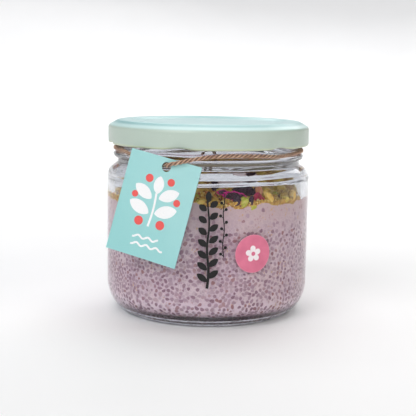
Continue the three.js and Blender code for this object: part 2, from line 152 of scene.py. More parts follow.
@dataclass
class Shell:
    """A closed skin: points in millimetres, faces of four and three, and values for each point."""

    points: Array
    quads: Array = field(default_factory=lambda: np.zeros((0, 4), int))
    tris: Array = field(default_factory=lambda: np.zeros((0, 3), int))
    values: dict[str, Array] = field(default_factory=dict)

    def triangles(self) -> int:
        """Number of triangles of the skin."""
        return 2 * len(self.quads) + len(self.tris)

    def reshaped(self, rule: Callable[[Array], Array]) -> "Shell":
        """The same skin with its points passed through a rule on whole arrays."""
        return Shell(rule(self.points), self.quads, self.tris, self.values)

    @staticmethod
    def together(shells: list["Shell"]) -> "Shell":
        """Joins skins into one, their face numbers moved on by the points before them.

        Args:
            shells: Skins that all carry the same named values.

        Returns:
            One skin with all points, faces and values.
        """
        starts = np.cumsum([0] + [len(shell.points) for shell in shells[:-1]])
        names = shells[0].values
        return Shell(
            np.concatenate([shell.points for shell in shells]),
            np.concatenate([shell.quads + start for shell, start in zip(shells, starts)]),
            np.concatenate([shell.tris + start for shell, start in zip(shells, starts)]),
            {name: np.concatenate([shell.values[name] for shell in shells]) for name in names},
        )


def arc(centre: Pair, radii: Pair, start: float, end: float, steps: int) -> Array:
    """Steps + 1 points centre + radii * (cos, sin), from the start to the end angle in degrees."""
    return np.array(centre) + np.array(radii) * directions(np.radians(np.linspace(start, end, steps + 1)))


def eased(profile: Array, spacing: float, passes: int = 2) -> Array:
    """A profile with its corners rounded, its two ends kept.

    Points are laid on it at equal distances, and each pass puts two points on every step, at a
    quarter and at three quarters of its length, in place of the points between the ends. A point is
    kept where the bends up to it add to another twentieth, or the way to another 4 mm.

    Args:
        profile: Points as radius and height.
        spacing: Distance of the points, in millimetres.
        passes: Number of rounding passes.

    Returns:
        The rounded profile, without the points that lie nearly straight between their neighbours.
    """
    bend_step, longest_step, fewest = 0.05, 4.0, 8
    lengths = lengths_along(profile)
    line = line_at(profile, lengths, np.linspace(0, lengths[-1], max(fewest, int(lengths[-1] / spacing))))
    for _ in range(passes):
        cut = np.stack([0.75 * line[:-1] + 0.25 * line[1:], 0.25 * line[:-1] + 0.75 * line[1:]], axis=1)
        line = np.concatenate([line[:1], cut.reshape(-1, 2)[1:-1], line[-1:]])
    before = line[1:-1] - line[:-2]
    after = line[2:] - line[1:-1]
    steps = np.linalg.norm(before, axis=1)
    bend = np.abs(before[:, 0] * after[:, 1] - before[:, 1] * after[:, 0])
    bend = bend / (steps * np.linalg.norm(after, axis=1) + 1e-12)
    marks = np.floor(np.cumsum(bend) / bend_step) + np.floor(np.cumsum(steps) / longest_step) * 1000
    return line[np.concatenate([[True], np.diff(marks, prepend=-1) != 0, [True]])]


def loft(rings: Array, start: Array | None = None, end: Array | None = None, looped: bool = False) -> Shell:
    """Skins rows of closed rings.

    The corners of a face are ring i point j, ring i point j + 1, ring i + 1 point j + 1 and ring
    i + 1 point j, so it faces outwards where the rings turn to the left about their way.

    Args:
        rings: Points as row, place on the ring, and coordinate.
        start: Point that closes the first ring with a fan.
        end: Point that closes the last ring with a fan.
        looped: True to join the last ring to the first.

    Returns:
        The skin.
    """
    rows, sides, _ = rings.shape
    count = rows * sides
    index = np.arange(count).reshape(rows, sides)
    beside = np.roll(index, -1, axis=1)
    quads = np.stack([index, beside, np.roll(beside, -1, axis=0), np.roll(index, -1, axis=0)], axis=-1)
    points = [rings.reshape(-1, 3)]
    tris = [np.zeros((0, 3), int)]
    if start is not None:
        points.append(np.reshape(start, (1, 3)))
        tris.append(np.stack([np.full(sides, count), beside[0], index[0]], axis=-1))
        count += 1
    if end is not None:
        points.append(np.reshape(end, (1, 3)))
        tris.append(np.stack([index[-1], beside[-1], np.full(sides, count)], axis=-1))
    quads = quads if looped else quads[:-1]
    return Shell(np.concatenate(points), quads.reshape(-1, 4), np.concatenate(tris))


def turned(profile: Array, sides: int) -> Shell:
    """Turned body about the axis: (radius * cos t, radius * sin t, height) for t round the circle.

    Args:
        profile: Points as radius and height, from below outwards and up; an end on the axis is
            closed with a fan, and a profile that never meets the axis is joined to its own start.
        sides: Number of points round the circle.

    Returns:
        The closed skin.
    """
    body = profile[profile[:, 0] > 1e-6]
    rings = round_axis(body[:, :1], body[:, 1:], round_angles(sides))
    start, end = (np.array([0, 0, tip[1]]) if tip[0] <= 1e-6 else None for tip in (profile[0], profile[-1]))
    return loft(rings, start, end, looped=start is None)


def beside_path(path: Array, reference: Point) -> tuple[Array, Array]:
    """Two unit vectors across a line at each of its points.

    Args:
        path: Points of the line.
        reference: Direction that is never along the way.

    Returns:
        The second vector crossed with the way, and the reference made square to the way.
    """
    way = way_of(path)
    up = unit(np.array(reference) - (way @ np.array(reference))[:, None] * way)
    return np.cross(up, way), up


def tube(path: Array, radius: Array, sides: int, reference: Point) -> Shell:
    """Round closed tube: path + radius * (a cos t + b sin t), a and b being the vectors across it.

    Args:
        path: Points of the middle line.
        radius: Radius at each of its points.
        sides: Number of points round the tube.
        reference: Direction that is never along the way.

    Returns:
        The tube.
    """
    side, up = beside_path(path, reference)
    angles = round_angles(sides)[None, :, None]
    ring = side[:, None] * np.cos(angles) + up[:, None] * np.sin(angles)
    return loft(path[:, None] + ring * np.reshape(radius, (-1, 1, 1)), path[0], path[-1])


def two_faces(rings: Array, low: float, high: float) -> Array:
    """Flat rings at the low height, and then in the other order at the high one."""
    both = np.concatenate([rings, rings[::-1]])
    return np.insert(both, 2, np.repeat([low, high], len(rings))[:, None], axis=-1)


def patch(outline: Array, thickness: float, rings: int) -> Shell:
    """Flat closed piece between two copies of an outline, both drawn in to its middle in rings.

    Args:
        outline: Points as x and y, turning to the left.
        thickness: Distance of the front from the back, which lies at zero.
        rings: Number of rings on each face.

    Returns:
        The closed piece, its front towards +Z.
    """
    middle = outline.mean(axis=0)
    flat = middle + (outline - middle)[None] * np.linspace(0, 1, rings + 1)[1:, None, None]
    return loft(two_faces(flat, 0.0, thickness), np.append(middle, 0.0), np.append(middle, thickness))


def ribbon(path: Array, half_width: Array, thickness: float) -> Shell:
    """Flat closed stroke: path +- half width * left normal, from zero up to the thickness.

    Args:
        path: Points as x and y.
        half_width: Half the stroke's width at each point.
        thickness: Its height.

    Returns:
        The closed stroke.
    """
    way = way_of(path)
    left = np.stack([-way[:, 1], way[:, 0]], axis=-1) * np.reshape(half_width, (-1, 1))
    corners = [(left, 0.0), (left, thickness), (-left, thickness), (-left, 0.0)]
    rows = np.stack([np.insert(path + side, 2, height, axis=1) for side, height in corners], axis=1)
    return loft(rows, rows[0].mean(axis=0), rows[-1].mean(axis=0))


def ball(level: int) -> Shell:
    """Unit ball: an octahedron whose faces are cut in four, its points pushed out to 1.

    Args:
        level: How many times the faces are cut.

    Returns:
        The ball.
    """
    points = np.array([[1, 0, 0], [-1, 0, 0], [0, 1, 0], [0, -1, 0], [0, 0, 1], [0, 0, -1]], float)
    tris = np.array([[0, 2, 4], [2, 1, 4], [1, 3, 4], [3, 0, 4], [2, 0, 5], [1, 2, 5], [3, 1, 5], [0, 3, 5]])
    for _ in range(level):
        edges = np.sort(tris[:, [[0, 1], [1, 2], [2, 0]]].reshape(-1, 2), axis=1)
        unique, place = np.unique(edges, axis=0, return_inverse=True)
        place = place.reshape(-1, 3) + len(points)
        points = np.concatenate([points, unit(points[unique].mean(axis=1))])
        (a, b, c), (ab, bc, ca) = tris.T, place.T
        corners = [(a, ab, ca), (ab, b, bc), (ca, bc, c), (ab, bc, ca)]
        tris = np.concatenate([np.stack(corner, axis=-1) for corner in corners])
    return Shell(points, tris=tris)


def copies(template: Shell, places: Array, frames: Array, sizes: Array, dents: Array | float = 1.0) -> Shell:
    """Copies of a shape: place + frame * (size * point * dent).

    Args:
        template: The shape about its own middle.
        places: Middle of each copy.
        frames: Rotation of each copy, its columns the copy's own axes.
        sizes: Scale of each copy along its own axes.
        dents: Factor for each copy and point.

    Returns:
        All copies as one skin; template values repeat for each.
    """
    local = template.points[None] * np.asarray(dents)[..., None] * sizes[:, None, :]
    points = places[:, None] + np.einsum("nij,nkj->nki", frames, local)
    starts = np.arange(len(places))[:, None, None] * len(template.points)
    values = {name: np.tile(value, len(places)) for name, value in template.values.items()}
    quads = (template.quads[None] + starts).reshape(-1, 4)
    return Shell(points.reshape(-1, 3), quads, (template.tris[None] + starts).reshape(-1, 3), values)


def smooth_route(points: Array, spacing: float) -> Array:
    """Centripetal Catmull-Rom line through points, resampled at equal distances.

    Each span is p1 + m1 t + (3 p2 - 3 p1 - 2 m1 - m2) t^2 + (2 p1 - 2 p2 + m1 + m2) t^3, with its
    end slopes m weighed by the square roots of the distances between the points.

    Args:
        points: Points that the line passes.
        spacing: Distance of the new points.

    Returns:
        The resampled line.
    """
    held = np.concatenate([2 * points[:1] - points[1:2], points, 2 * points[-1:] - points[-2:-1]])
    p0, p1, p2, p3 = held[:-3], held[1:-2], held[2:-1], held[3:]
    gaps = (p1 - p0, p2 - p1, p3 - p2)
    d0, d1, d2 = (np.linalg.norm(gap, axis=1, keepdims=True) ** 0.5 for gap in gaps)
    m1 = ((p1 - p0) / d0 - (p2 - p0) / (d0 + d1) + (p2 - p1) / d1) * d1
    m2 = ((p2 - p1) / d1 - (p3 - p1) / (d1 + d2) + (p3 - p2) / d2) * d1
    t = np.linspace(0, 1, 40, endpoint=False)[None, :, None]
    square, cube = 3 * p2 - 3 * p1 - 2 * m1 - m2, 2 * p1 - 2 * p2 + m1 + m2
    line = p1[:, None] + m1[:, None] * t + square[:, None] * t**2 + cube[:, None] * t**3
    line = np.concatenate([line.reshape(-1, 3), points[-1:]])
    lengths = lengths_along(line)
    return line_at(line, lengths, np.linspace(0, lengths[-1], int(lengths[-1] / spacing) + 1))


def object_of(name: str, shell: Shell, material: Material, crease: float) -> bpy.types.Object:
    """Makes an object of a skin, with its values stored for each point.

    Args:
        name: Name of the object.
        shell: Its skin, in millimetres.
        material: Its finish.
        crease: Angle in degrees over which an edge stays sharp.

    Returns:
        The new object, at the origin.
    """
    mesh = bpy.data.meshes.new(name)
    mesh.vertices.add(len(shell.points))
    mesh.vertices.foreach_set("co", (shell.points * MM).astype(np.float32).ravel())
    loops = np.concatenate([shell.quads.ravel(), shell.tris.ravel()]).astype(np.int32)
    sizes = np.concatenate([np.full(len(shell.quads), 4), np.full(len(shell.tris), 3)])
    mesh.loops.add(len(loops))
    mesh.loops.foreach_set("vertex_index", loops)
    mesh.polygons.add(len(sizes))
    mesh.polygons.foreach_set("loop_start", np.concatenate([[0], np.cumsum(sizes)[:-1]]).astype(np.int32))
    mesh.polygons.foreach_set("use_smooth", np.ones(len(sizes), bool))
    for key, value in shell.values.items():
        kind, part = ("FLOAT", "value") if value.ndim == 1 else ("FLOAT_VECTOR", "vector")
        mesh.attributes.new(key, kind, "POINT").data.foreach_set(part, value.astype(np.float32).ravel())
    mesh.update(calc_edges=True)
    mesh.set_sharp_from_angle(angle=math.radians(crease))
    mesh.materials.append(material)
    piece = bpy.data.objects.new(name, mesh)
    bpy.context.scene.collection.objects.link(piece)
    return piece


@dataclass
class Bench:
    """Puts pieces into the frame from skins about the jar's axis."""

    axis: Array

    def put(self, name: str, shell: Shell, material: Material, stands_for: tuple[str, ...] = (),
            crease: float = 40.0) -> None:
        """Makes an object of a skin, lets it ride on the body and reports it.

        Args:
            name: Name of the piece.
            shell: Its skin, in millimetres about the jar's axis.
            material: Its finish.
            stands_for: CAD nodes that it replaces.
            crease: Angle in degrees over which an edge stays sharp.
        """
        piece = object_of(name, shell.reshaped(lambda points: points + self.axis), material, crease)
        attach(piece, "root")
        if stands_for:
            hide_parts(*stands_for)
        log.info("%s: %d triangles", name, shell.triangles())


class Recipe:
    """One node material, put together from its coordinates to its shader."""

    def __init__(self, name: str) -> None:
        """Starts an empty material.

        Args:
            name: Name of the material.
        """
        self.material = bpy.data.materials.new(name)
        self.material.use_nodes = True
        self.tree = self.material.node_tree
        self.tree.nodes.clear()
        self.place = self.add("ShaderNodeTexCoord").outputs["Object"]

    def add(self, kind: str, inputs: dict[str | int, Value] | None = None,
            **settings: object) -> bpy.types.Node:
        """Adds a node.

        Args:
            kind: Its type.
            inputs: A value or a socket for each input, by name or number.
            settings: Its properties.

        Returns:
            The node.
        """
        node = self.tree.nodes.new(kind)
        for name, value in settings.items():
            setattr(node, name, value)
        for name, value in (inputs or {}).items():
            if isinstance(value, Socket):
                self.tree.links.new(value, node.inputs[name])
            else:
                node.inputs[name].default_value = value
        return node

    def noise(self, size: float, detail: float = 2.0, where: Socket | None = None) -> Socket:
        """Cloudy noise whose features are about size millimetres."""
        inputs = {"Vector": where or self.place, "Scale": 1 / (size * MM), "Detail": detail}
        return self.add("ShaderNodeTexNoise", inputs).outputs["Fac"]

    def cells(self, size: float, feature: str = "F1") -> bpy.types.bpy_prop_collection:
        """Outputs of a cell pattern whose cells are about size millimetres."""
        inputs = {"Vector": self.place, "Scale": 1 / (size * MM)}
        return self.add("ShaderNodeTexVoronoi", inputs, feature=feature).outputs

    def stored(self, name: str, output: str = "Fac") -> Socket:
        """The number, or with output Vector the vector, stored for each point under that name."""
        return self.add("ShaderNodeAttribute", attribute_name=name).outputs[output]

    def height(self) -> Socket:
        """Height above the floor, in metres."""
        return self.add("ShaderNodeSeparateXYZ", {"Vector": self.place}).outputs["Z"]

    def stretched(self, vector: Socket, scale: Point) -> Socket:
        """A vector times a scale on each axis."""
        return self.add("ShaderNodeVectorMath", {0: vector, 1: scale}, operation="MULTIPLY").outputs["Vector"]

    def lay(self, x: float, y: float, z: float) -> Socket:
        """The piece's own stored millimetres as metres, times a scale on each axis."""
        return self.stretched(self.stored("grain", "Vector"), (x * MM, y * MM, z * MM))

    def reach(self, value: Socket, low: float, high: float, start: float = 0.0, end: float = 1.0) -> Socket:
        """Start to end as the value goes from low to high, held at both ends."""
        inputs = {"Value": value, "From Min": low, "From Max": high, "To Min": start, "To Max": end}
        return self.add("ShaderNodeMapRange", inputs, clamp=True).outputs["Result"]

    def spread(self, noise: Socket, start: float, end: float) -> Socket:
        """Start to end over the middle range of a noise."""
        return self.reach(noise, 0.3, 0.7, start, end)

    def math(self, operation: str, first: Value, second: Value = 0.0) -> Socket:
        """One sum of two numbers or sockets."""
        return self.add("ShaderNodeMath", {0: first, 1: second}, operation=operation).outputs[0]

    def layered(self, base: Value, *layers: tuple) -> Socket:
        """Colours laid over each other.

        Args:
            base: The lowest colour.
            layers: The colour and the share of each layer, or its colour and what reach is told.

        Returns:
            The mixed colour.
        """
        for tint, mask, *span in layers:
            share = self.reach(mask, *span) if span else mask
            base = self.add("ShaderNodeMix", {0: share, 6: base, 7: tint}, data_type="RGBA").outputs[2]
        return base

    def ramp(self, share: Socket, stops: list[tuple[float, Colour]], steps: bool = False) -> Socket:
        """Colour at the share of the way along the stops.

        Args:
            share: Where to look.
            stops: Place and colour of each stop.
            steps: True to hold each colour up to the next stop.

        Returns:
            The colour.
        """
        node = self.add("ShaderNodeValToRGB", {"Fac": share})
        elements = node.color_ramp.elements
        while len(elements) < len(stops):
            elements.new(1.0)
        for element, (place, colour) in zip(elements, stops):
            element.position = place
            element.color = colour
        node.color_ramp.interpolation = "CONSTANT" if steps else "LINEAR"
        return node.outputs["Color"]

    def bump(self, height: Socket, depth: float, strength: float = 1.0) -> Socket:
        """Relief of depth millimetres from a height between 0 and 1."""
        inputs = {"Height": height, "Distance": depth * MM, "Strength": strength}
        return self.add("ShaderNodeBump", inputs).outputs["Normal"]

    def done(self, shader: bpy.types.Node) -> Material:
        """Joins the last shader to the output."""
        self.add("ShaderNodeOutputMaterial", {"Surface": shader.outputs[0]})
        return self.material

    def dressed(self, colour: Socket, roughness: Socket, relief: Socket | None = None,
                **others: Value) -> Material:
        """Ends the material with a Principled shader.

        Args:
            colour: Its colour.
            roughness: Its roughness.
            relief: Its normal, if it has a relief.
            others: Other inputs, with underscores for the spaces in their names.

        Returns:
            The material.
        """
        inputs = {"Base Color": colour, "Roughness": roughness}
        inputs |= {"Normal": relief} if relief else {}
        inputs |= {name.replace("_", " "): value for name, value in others.items()}
        return self.done(self.add("ShaderNodeBsdfPrincipled", inputs))


@dataclass(frozen=True)
class GlassFinish:
    """Clear pressed glass, with the faint waviness of a moulded wall."""

    tint: Colour = paint(221, 223, 227)
    gloss: Colour = paint(120, 120, 120)
    clear: Colour = paint(246, 249, 249)
    ior: float = 1.5
    wave_size: float = 11.0
    wave_depth: float = 0.03
    frosted: Pair = (0.0004, 0.0014)

    def material(self) -> Material:
        """Clear glass, its notched foot a little frosted, that lets shadow and diffuse rays pass.

        Returns:
            The glass.
        """
        recipe = Recipe("clear_glass")
        glass = recipe.add("ShaderNodeBsdfPrincipled", {
            "Base Color": self.tint,
            "Roughness": recipe.reach(recipe.height(), *self.frosted, 0.5, 0.0),
            "IOR": self.ior,
            "Specular Tint": self.gloss,
            "Transmission Weight": 1.0,
            "Normal": recipe.bump(recipe.noise(self.wave_size, 1.0), self.wave_depth),
        })
        clear = recipe.add("ShaderNodeBsdfTransparent", {"Color": self.clear})
        rays = recipe.add("ShaderNodeLightPath").outputs
        passing = recipe.math("MAXIMUM", rays["Is Shadow Ray"], rays["Is Diffuse Ray"])
        both = {0: passing, 1: glass.outputs[0], 2: clear.outputs[0]}
        return recipe.done(recipe.add("ShaderNodeMixShader", both))


@dataclass(frozen=True)
class FrostAndPaintedHighlightFinish:
    """Frosted glass of the mould's marks on the heel, opaque and pale: partly real frost, partly a painted
    highlight for the bright lines the heel's glass refracts and reflects.
    """

    pale: Colour = paint(206, 207, 216)
    grey: Colour = paint(150, 150, 160)

    def material(self) -> Material:
        """Pale frost with grey patches.

        Returns:
            The frost.
        """
        recipe = Recipe("frosted_glass_and_painted_highlight")
        patches = recipe.noise(3.0, 3.0)
        colour = recipe.layered(self.pale, (self.grey, patches, 0.42, 0.62))
        return recipe.dressed(colour, recipe.spread(patches, 0.3, 0.45))


@dataclass(frozen=True)
class EnamelFinish:
    """Mint enamel on pressed sheet, with a cool tint on top as painted overhead light, a painted highlight on
    the sloping corner, and a worn curl.
    """

    # top is a cool tint standing for light from above (painted light); corner is a painted highlight on the
    # sloping corner.
    top: Colour = paint(152, 196, 198)
    corner: Colour = paint(198, 227, 226)
    skirt: Colour = paint(184, 200, 188)
    curl: Colour = paint(194, 204, 174)
    faded: Colour = paint(176, 196, 190)
    speck: Colour = paint(236, 243, 240)
    lining: Colour = paint(222, 214, 196)

    def material(self) -> Material:
        """Enamel with drawn streaks round the skirt, a satin gloss, and cream lacquer inside.

        Returns:
            The enamel.
        """
        recipe = Recipe("lid_enamel")
        height = recipe.height()
        colour = recipe.layered(
            self.skirt,
            # Painted highlight: a lighter band over the sloping corner, from 78.5 mm up.
            (self.corner, height, 0.0785, 0.0793),
            # Painted light: the top tinted cooler, for the cool light falling from above.
            (self.top, height, 0.0798, 0.0804),
            (self.curl, height, 0.0717, 0.0722, 1.0, 0.0),
            (self.faded, recipe.noise(18, 3.0), 0.35, 0.7, 0.0, 0.12),
            (self.speck, recipe.noise(0.7, 1.0), 0.68, 0.76, 0.0, 0.18),
            (self.lining, recipe.stored("lined")),
        )
        streaks = recipe.noise(1.0, 2.0, recipe.stretched(recipe.place, (0.12, 0.12, 1.0)))
        roughness = recipe.spread(streaks, 0.34, 0.46)
        peel = recipe.bump(recipe.noise(1.4), 0.02, 0.6)
        return recipe.dressed(colour, roughness, peel, Coat_Weight=0.25, Coat_Roughness=0.2)


@dataclass(frozen=True)
class PuddingFinish:
    """Lilac pudding: soft grain, deeper seeds that shine through, and rose and amber specks."""

    body: Colour = paint(223, 196, 204)
    cloud: Colour = paint(204, 174, 193)
    # low: painted light that lifts the lowest part of the pudding, which lies in shade at the heel.
    low: Colour = paint(246, 224, 236)
    cream: Colour = paint(208, 178, 180)
    web: Colour = paint(240, 218, 220)
    shade: Colour = paint(170, 138, 154)
    rose: Colour = paint(188, 128, 140)
    amber: Colour = paint(214, 168, 118)

    def material(self) -> Material:
        """Pudding whose upper part is creamier and whose lowest part is lightened as painted light, with a
        wet surface.

        Returns:
            The pudding.
        """
        recipe = Recipe("lilac_pudding")
        clouds = recipe.noise(13, 3.0)
        height = recipe.height()
        deep = recipe.reach(recipe.cells(2.1)["Distance"], 0.18, 0.55, 0.55, 0.0)
        picked = recipe.add("ShaderNodeSeparateColor", {"Color": recipe.cells(3.1)["Color"]}).outputs
        near = recipe.reach(recipe.noise(0.9, 1.0), 0.58, 0.66)
        colour = recipe.layered(
            self.body,
            (self.cloud, clouds, 0.35, 0.65),
            # Painted light: the pudding lighter from 13 mm down, against the shade at its heel.
            (self.low, height, 0.0075, 0.013, 0.8, 0.0),
            (self.shade, recipe.math("MULTIPLY", deep, recipe.reach(height, 0.036, 0.044, 1.0, 0.25))),
            (self.web, recipe.cells(1.3, "DISTANCE_TO_EDGE")["Distance"], 0.0, 0.12, 0.6, 0.0),
            (self.cream, height, 0.036, 0.047, 0.0, 0.7),
            (self.rose, recipe.math("MULTIPLY", near, recipe.reach(picked[0], 0.7, 0.75, 0.0, 0.5))),
            (self.amber, recipe.math("MULTIPLY", near, recipe.reach(picked[1], 0.87, 0.9, 0.0, 0.75))),
        )
        relief = recipe.bump(recipe.noise(1.1), 0.08, 0.5)
        return recipe.dressed(colour, recipe.spread(clouds, 0.42, 0.58), relief,
                              Subsurface_Weight=0.1, Subsurface_Scale=0.001)


@dataclass(frozen=True)
class SeedFinish:
    """Soaked chia seed: a dark heart that fades into its clear gel at the rim."""

    dark: Colour = paint(134, 94, 116)
    grey: Colour = paint(180, 146, 166)
    brown: Colour = paint(166, 108, 106)
    mottle: Colour = paint(182, 146, 162)
    gel: Colour = paint(222, 194, 203)

    def material(self) -> Material:
        """Seed coloured by its stored tone and warmth, and by the distance from its middle.

        Returns:
            The seed.
        """
        recipe = Recipe("chia_seed")
        rim = recipe.stored("rim")
        edge = recipe.math("ADD", rim, recipe.spread(recipe.noise(0.8, 1.0), -0.14, 0.14))
        colour = recipe.layered(
            self.dark,
            (self.grey, recipe.stored("tone")),
            (self.brown, recipe.stored("warmth")),
            (self.mottle, recipe.noise(0.5), 0.35, 0.65, 0.0, 0.3),
            (self.gel, recipe.math("MAXIMUM", recipe.reach(edge, 0.62, 1.06), recipe.stored("veil"))),
        )
        return recipe.dressed(colour, recipe.reach(rim, 0, 1, 0.3, 0.5))


@dataclass(frozen=True)
class CrumbFinish:
    """Ground nuts: golden, olive and brown bits, picked by a stored tone."""

    tones: tuple[Colour, ...] = (
        paint(104, 58, 42),
        paint(158, 106, 52),
        paint(200, 148, 68),
        paint(224, 178, 84),
        paint(238, 198, 100),
        paint(246, 212, 124),
        paint(250, 228, 162),
        paint(202, 108, 66),
        paint(176, 172, 74),
    )
    mottle: Colour = paint(196, 140, 72)
    dull: Colour = paint(184, 152, 88)

    def material(self) -> Material:
        """Crumb colour from the stored tone, cooler and duller where the stored dulling is high.

        Returns:
            The ground nut.
        """
        recipe = Recipe("ground_nut")
        stops = [(i / len(self.tones), tone) for i, tone in enumerate(self.tones)]
        mottle = recipe.reach(recipe.noise(0.6, 3.0), 0.35, 0.65, 0.0, 0.4)
        colour = recipe.layered(
            recipe.ramp(recipe.stored("tone"), stops, steps=True),
            (self.mottle, mottle),
            (self.dull, recipe.stored("dull")),
        )
        roughness = recipe.reach(mottle, 0.0, 0.5, 0.55, 0.75)
        return recipe.dressed(colour, roughness, recipe.bump(recipe.noise(0.4), 0.08, 0.6))


@dataclass(frozen=True)
class BedFinish:
    """Nut meal soaked into the pudding, lilac where it is bare."""

    meal: Colour = paint(206, 160, 84)
    soaked: Colour = paint(164, 116, 64)
    grain: Colour = paint(206, 180, 108)
    bare: Colour = paint(214, 188, 200)
    bare_shade: Colour = paint(188, 170, 180)

    def material(self) -> Material:
        """Meal with dark and light grains, mixed to lilac by the stored bareness.

        Returns:
            The meal.
        """
        recipe = Recipe("nut_meal")
        fine = recipe.noise(1.6, 3.0)
        colour = recipe.layered(
            self.meal,
            (self.soaked, fine, 0.35, 0.65),
            (self.grain, recipe.cells(0.9)["Distance"], 0.1, 0.5, 0.5, 0.0),
            (recipe.layered(self.bare, (self.bare_shade, fine, 0.4, 0.7)), recipe.stored("bare")),
        )
        relief = recipe.bump(recipe.noise(0.8, 3.0), 0.25, 0.7)
        return recipe.dressed(colour, recipe.spread(fine, 0.5, 0.7), relief)


@dataclass(frozen=True)
class KernelFinish:
    """Nut kernels from pistachio green to yellow, with the skin left on in streaks."""

    green: Colour = paint(176, 178, 58)
    yellow: Colour = paint(232, 184, 92)
    pale: Colour = paint(236, 216, 140)
    skin: Colour = paint(140, 88, 62)

    def material(self) -> Material:
        """Kernel coloured by its stored ripeness; streaks run along each kernel.

        Returns:
            The kernel.
        """
        recipe = Recipe("nut_kernel")
        streak = recipe.noise(0.5, 3.0, recipe.lay(0.3, 1.0, 1.0))
        colour = recipe.layered(
            self.green,
            (self.yellow, recipe.stored("ripe")),
            (self.pale, streak, 0.45, 0.7, 0.0, 0.7),
            (self.skin, recipe.noise(1.7), 0.58, 0.68, 0.0, 0.6),
        )
        return recipe.dressed(colour, recipe.spread(streak, 0.42, 0.6), recipe.bump(streak, 0.12, 0.6))


@dataclass(frozen=True)
class PetalFinish:
    """Dried petal: dark body with veins and a bright edge."""

    name: str
    body: Colour
    fold: Colour
    edge: Colour
    edge_start: float

    def material(self) -> Material:
        """Petal whose colour turns to the edge's over its last stretch, with veins that fan out.

        Returns:
            The petal.
        """
        recipe = Recipe(self.name)
        veins = recipe.noise(0.8, 3.0, recipe.lay(1.0, 0.25, 1.0))
        patchy = recipe.math("ADD", recipe.stored("rim"), recipe.spread(recipe.noise(3.2), -0.13, 0.1))
        colour = recipe.layered(
            self.body,
            (self.fold, veins, 0.35, 0.65),
            (self.edge, patchy, self.edge_start, self.edge_start + 0.08),
        )
        relief = recipe.bump(veins, 0.12, 0.7)
        return recipe.dressed(colour, recipe.spread(veins, 0.45, 0.7), relief, Sheen_Weight=0.2)


@dataclass(frozen=True)
class CardFinish:
    """Aqua card with a fine linen grain, and painted light that grows towards its upper right."""

    aqua: Colour = paint(148, 208, 208)
    # light: painted light, laid over the card towards its upper right.
    light: Colour = paint(168, 217, 217)
    cloud: Colour = paint(140, 200, 203)
    fibre: Colour = paint(186, 226, 225)
    thread: float = 0.42

    def material(self) -> Material:
        """Card whose linen lines follow its own stored millimetres, with crossed waves as relief.

        Returns:
            The card.
        """
        recipe = Recipe("linen_card")
        x, y, _ = recipe.add("ShaderNodeSeparateXYZ", {"Vector": recipe.stored("grain", "Vector")}).outputs
        turns = 2 * math.pi / self.thread
        warp, weft = (recipe.math("SINE", recipe.math("MULTIPLY", way, turns)) for way in (x, y))
        linen = recipe.math("MULTIPLY", recipe.math("ADD", warp, weft), 0.25)
        cloud = recipe.noise(9.0, 3.0)
        colour = recipe.layered(
            self.aqua,
            # Painted light: the card lighter along x + y, towards its upper right.
            (self.light, recipe.math("ADD", x, y), -24, 26, 0.0, 0.9),
            (self.cloud, cloud, 0.4, 0.7, 0.0, 0.18),
            (self.fibre, recipe.noise(0.35), 0.35, 0.65, 0.0, 0.1),
        )
        return recipe.dressed(colour, recipe.spread(cloud, 0.62, 0.74), recipe.bump(linen, 0.04, 0.7))


@dataclass(frozen=True)
class InkFinish:
    """A printed colour, a little uneven as ink lies on its ground."""

    name: str
    ink: Colour
    thin: Colour
    roughness: float = 0.6

    def material(self) -> Material:
        """Ink with a faint mottle and a fine grain.

        Returns:
            The ink.
        """
        recipe = Recipe(self.name)
        mottle = recipe.noise(0.7)
        colour = recipe.layered(self.ink, (self.thin, mottle, 0.4, 0.75, 0.0, 0.5))
        roughness = recipe.spread(mottle, self.roughness - 0.05, self.roughness + 0.08)
        return recipe.dressed(colour, roughness, recipe.bump(recipe.noise(0.4), 0.01, 0.5))


@dataclass(frozen=True)
class TwineFinish:
    """Jute: tan fibres that run along each strand, with painted shade, dark brown, in the valleys between
    them.
    """

    tan: Colour = paint(206, 166, 138)
    straw: Colour = paint(232, 202, 176)
    brown: Colour = paint(146, 104, 84)
    painted_valley_shade: Colour = paint(84, 52, 42)

    def material(self) -> Material:
        """Fibres drawn from noise stretched along the strand's stored length.

        Returns:
            The jute.
        """
        recipe = Recipe("jute_twine")
        fibre = recipe.noise(0.35, 3.0, recipe.lay(0.12, 1.0, 1.0))
        stops = [(0.0, self.brown), (0.45, self.tan), (1.0, self.straw)]
        colour = recipe.layered(
            recipe.ramp(recipe.reach(fibre, 0.3, 0.7), stops),
            (self.brown, recipe.noise(4.0), 0.4, 0.7, 0.0, 0.35),
            # Painted shade: dark brown where the surface lies near the twine's middle line, in the valleys
            # between the strands.
            (self.painted_valley_shade, recipe.stored("outer"), 0.72, 0.98, 0.9, 0.0),
        )
        relief = recipe.bump(fibre, 0.1, 0.8)
        return recipe.dressed(colour, recipe.spread(fibre, 0.75, 0.9), relief, Sheen_Weight=0.25)


@dataclass(frozen=True)
class LabelFinish:
    """Pink sticker paper with a soft gloss."""

    pink: Colour = paint(225, 121, 151)
    deep: Colour = paint(212, 108, 139)
    rim: Colour = paint(238, 160, 180)

    def material(self) -> Material:
        """Paper with faint clouds and a fine tooth.

        Returns:
            The paper.
        """
        recipe = Recipe("pink_label")
        colour = recipe.layered(
            self.pink,
            (self.deep, recipe.noise(5.0, 3.0), 0.35, 0.7),
            (self.rim, recipe.stored("rim"), 0.95, 1.0, 0.0, 0.5),
        )
        tooth = recipe.noise(0.3)
        relief = recipe.bump(tooth, 0.015, 0.6)
        return recipe.dressed(colour, recipe.spread(tooth, 0.45, 0.58), relief, Coat_Weight=0.1)


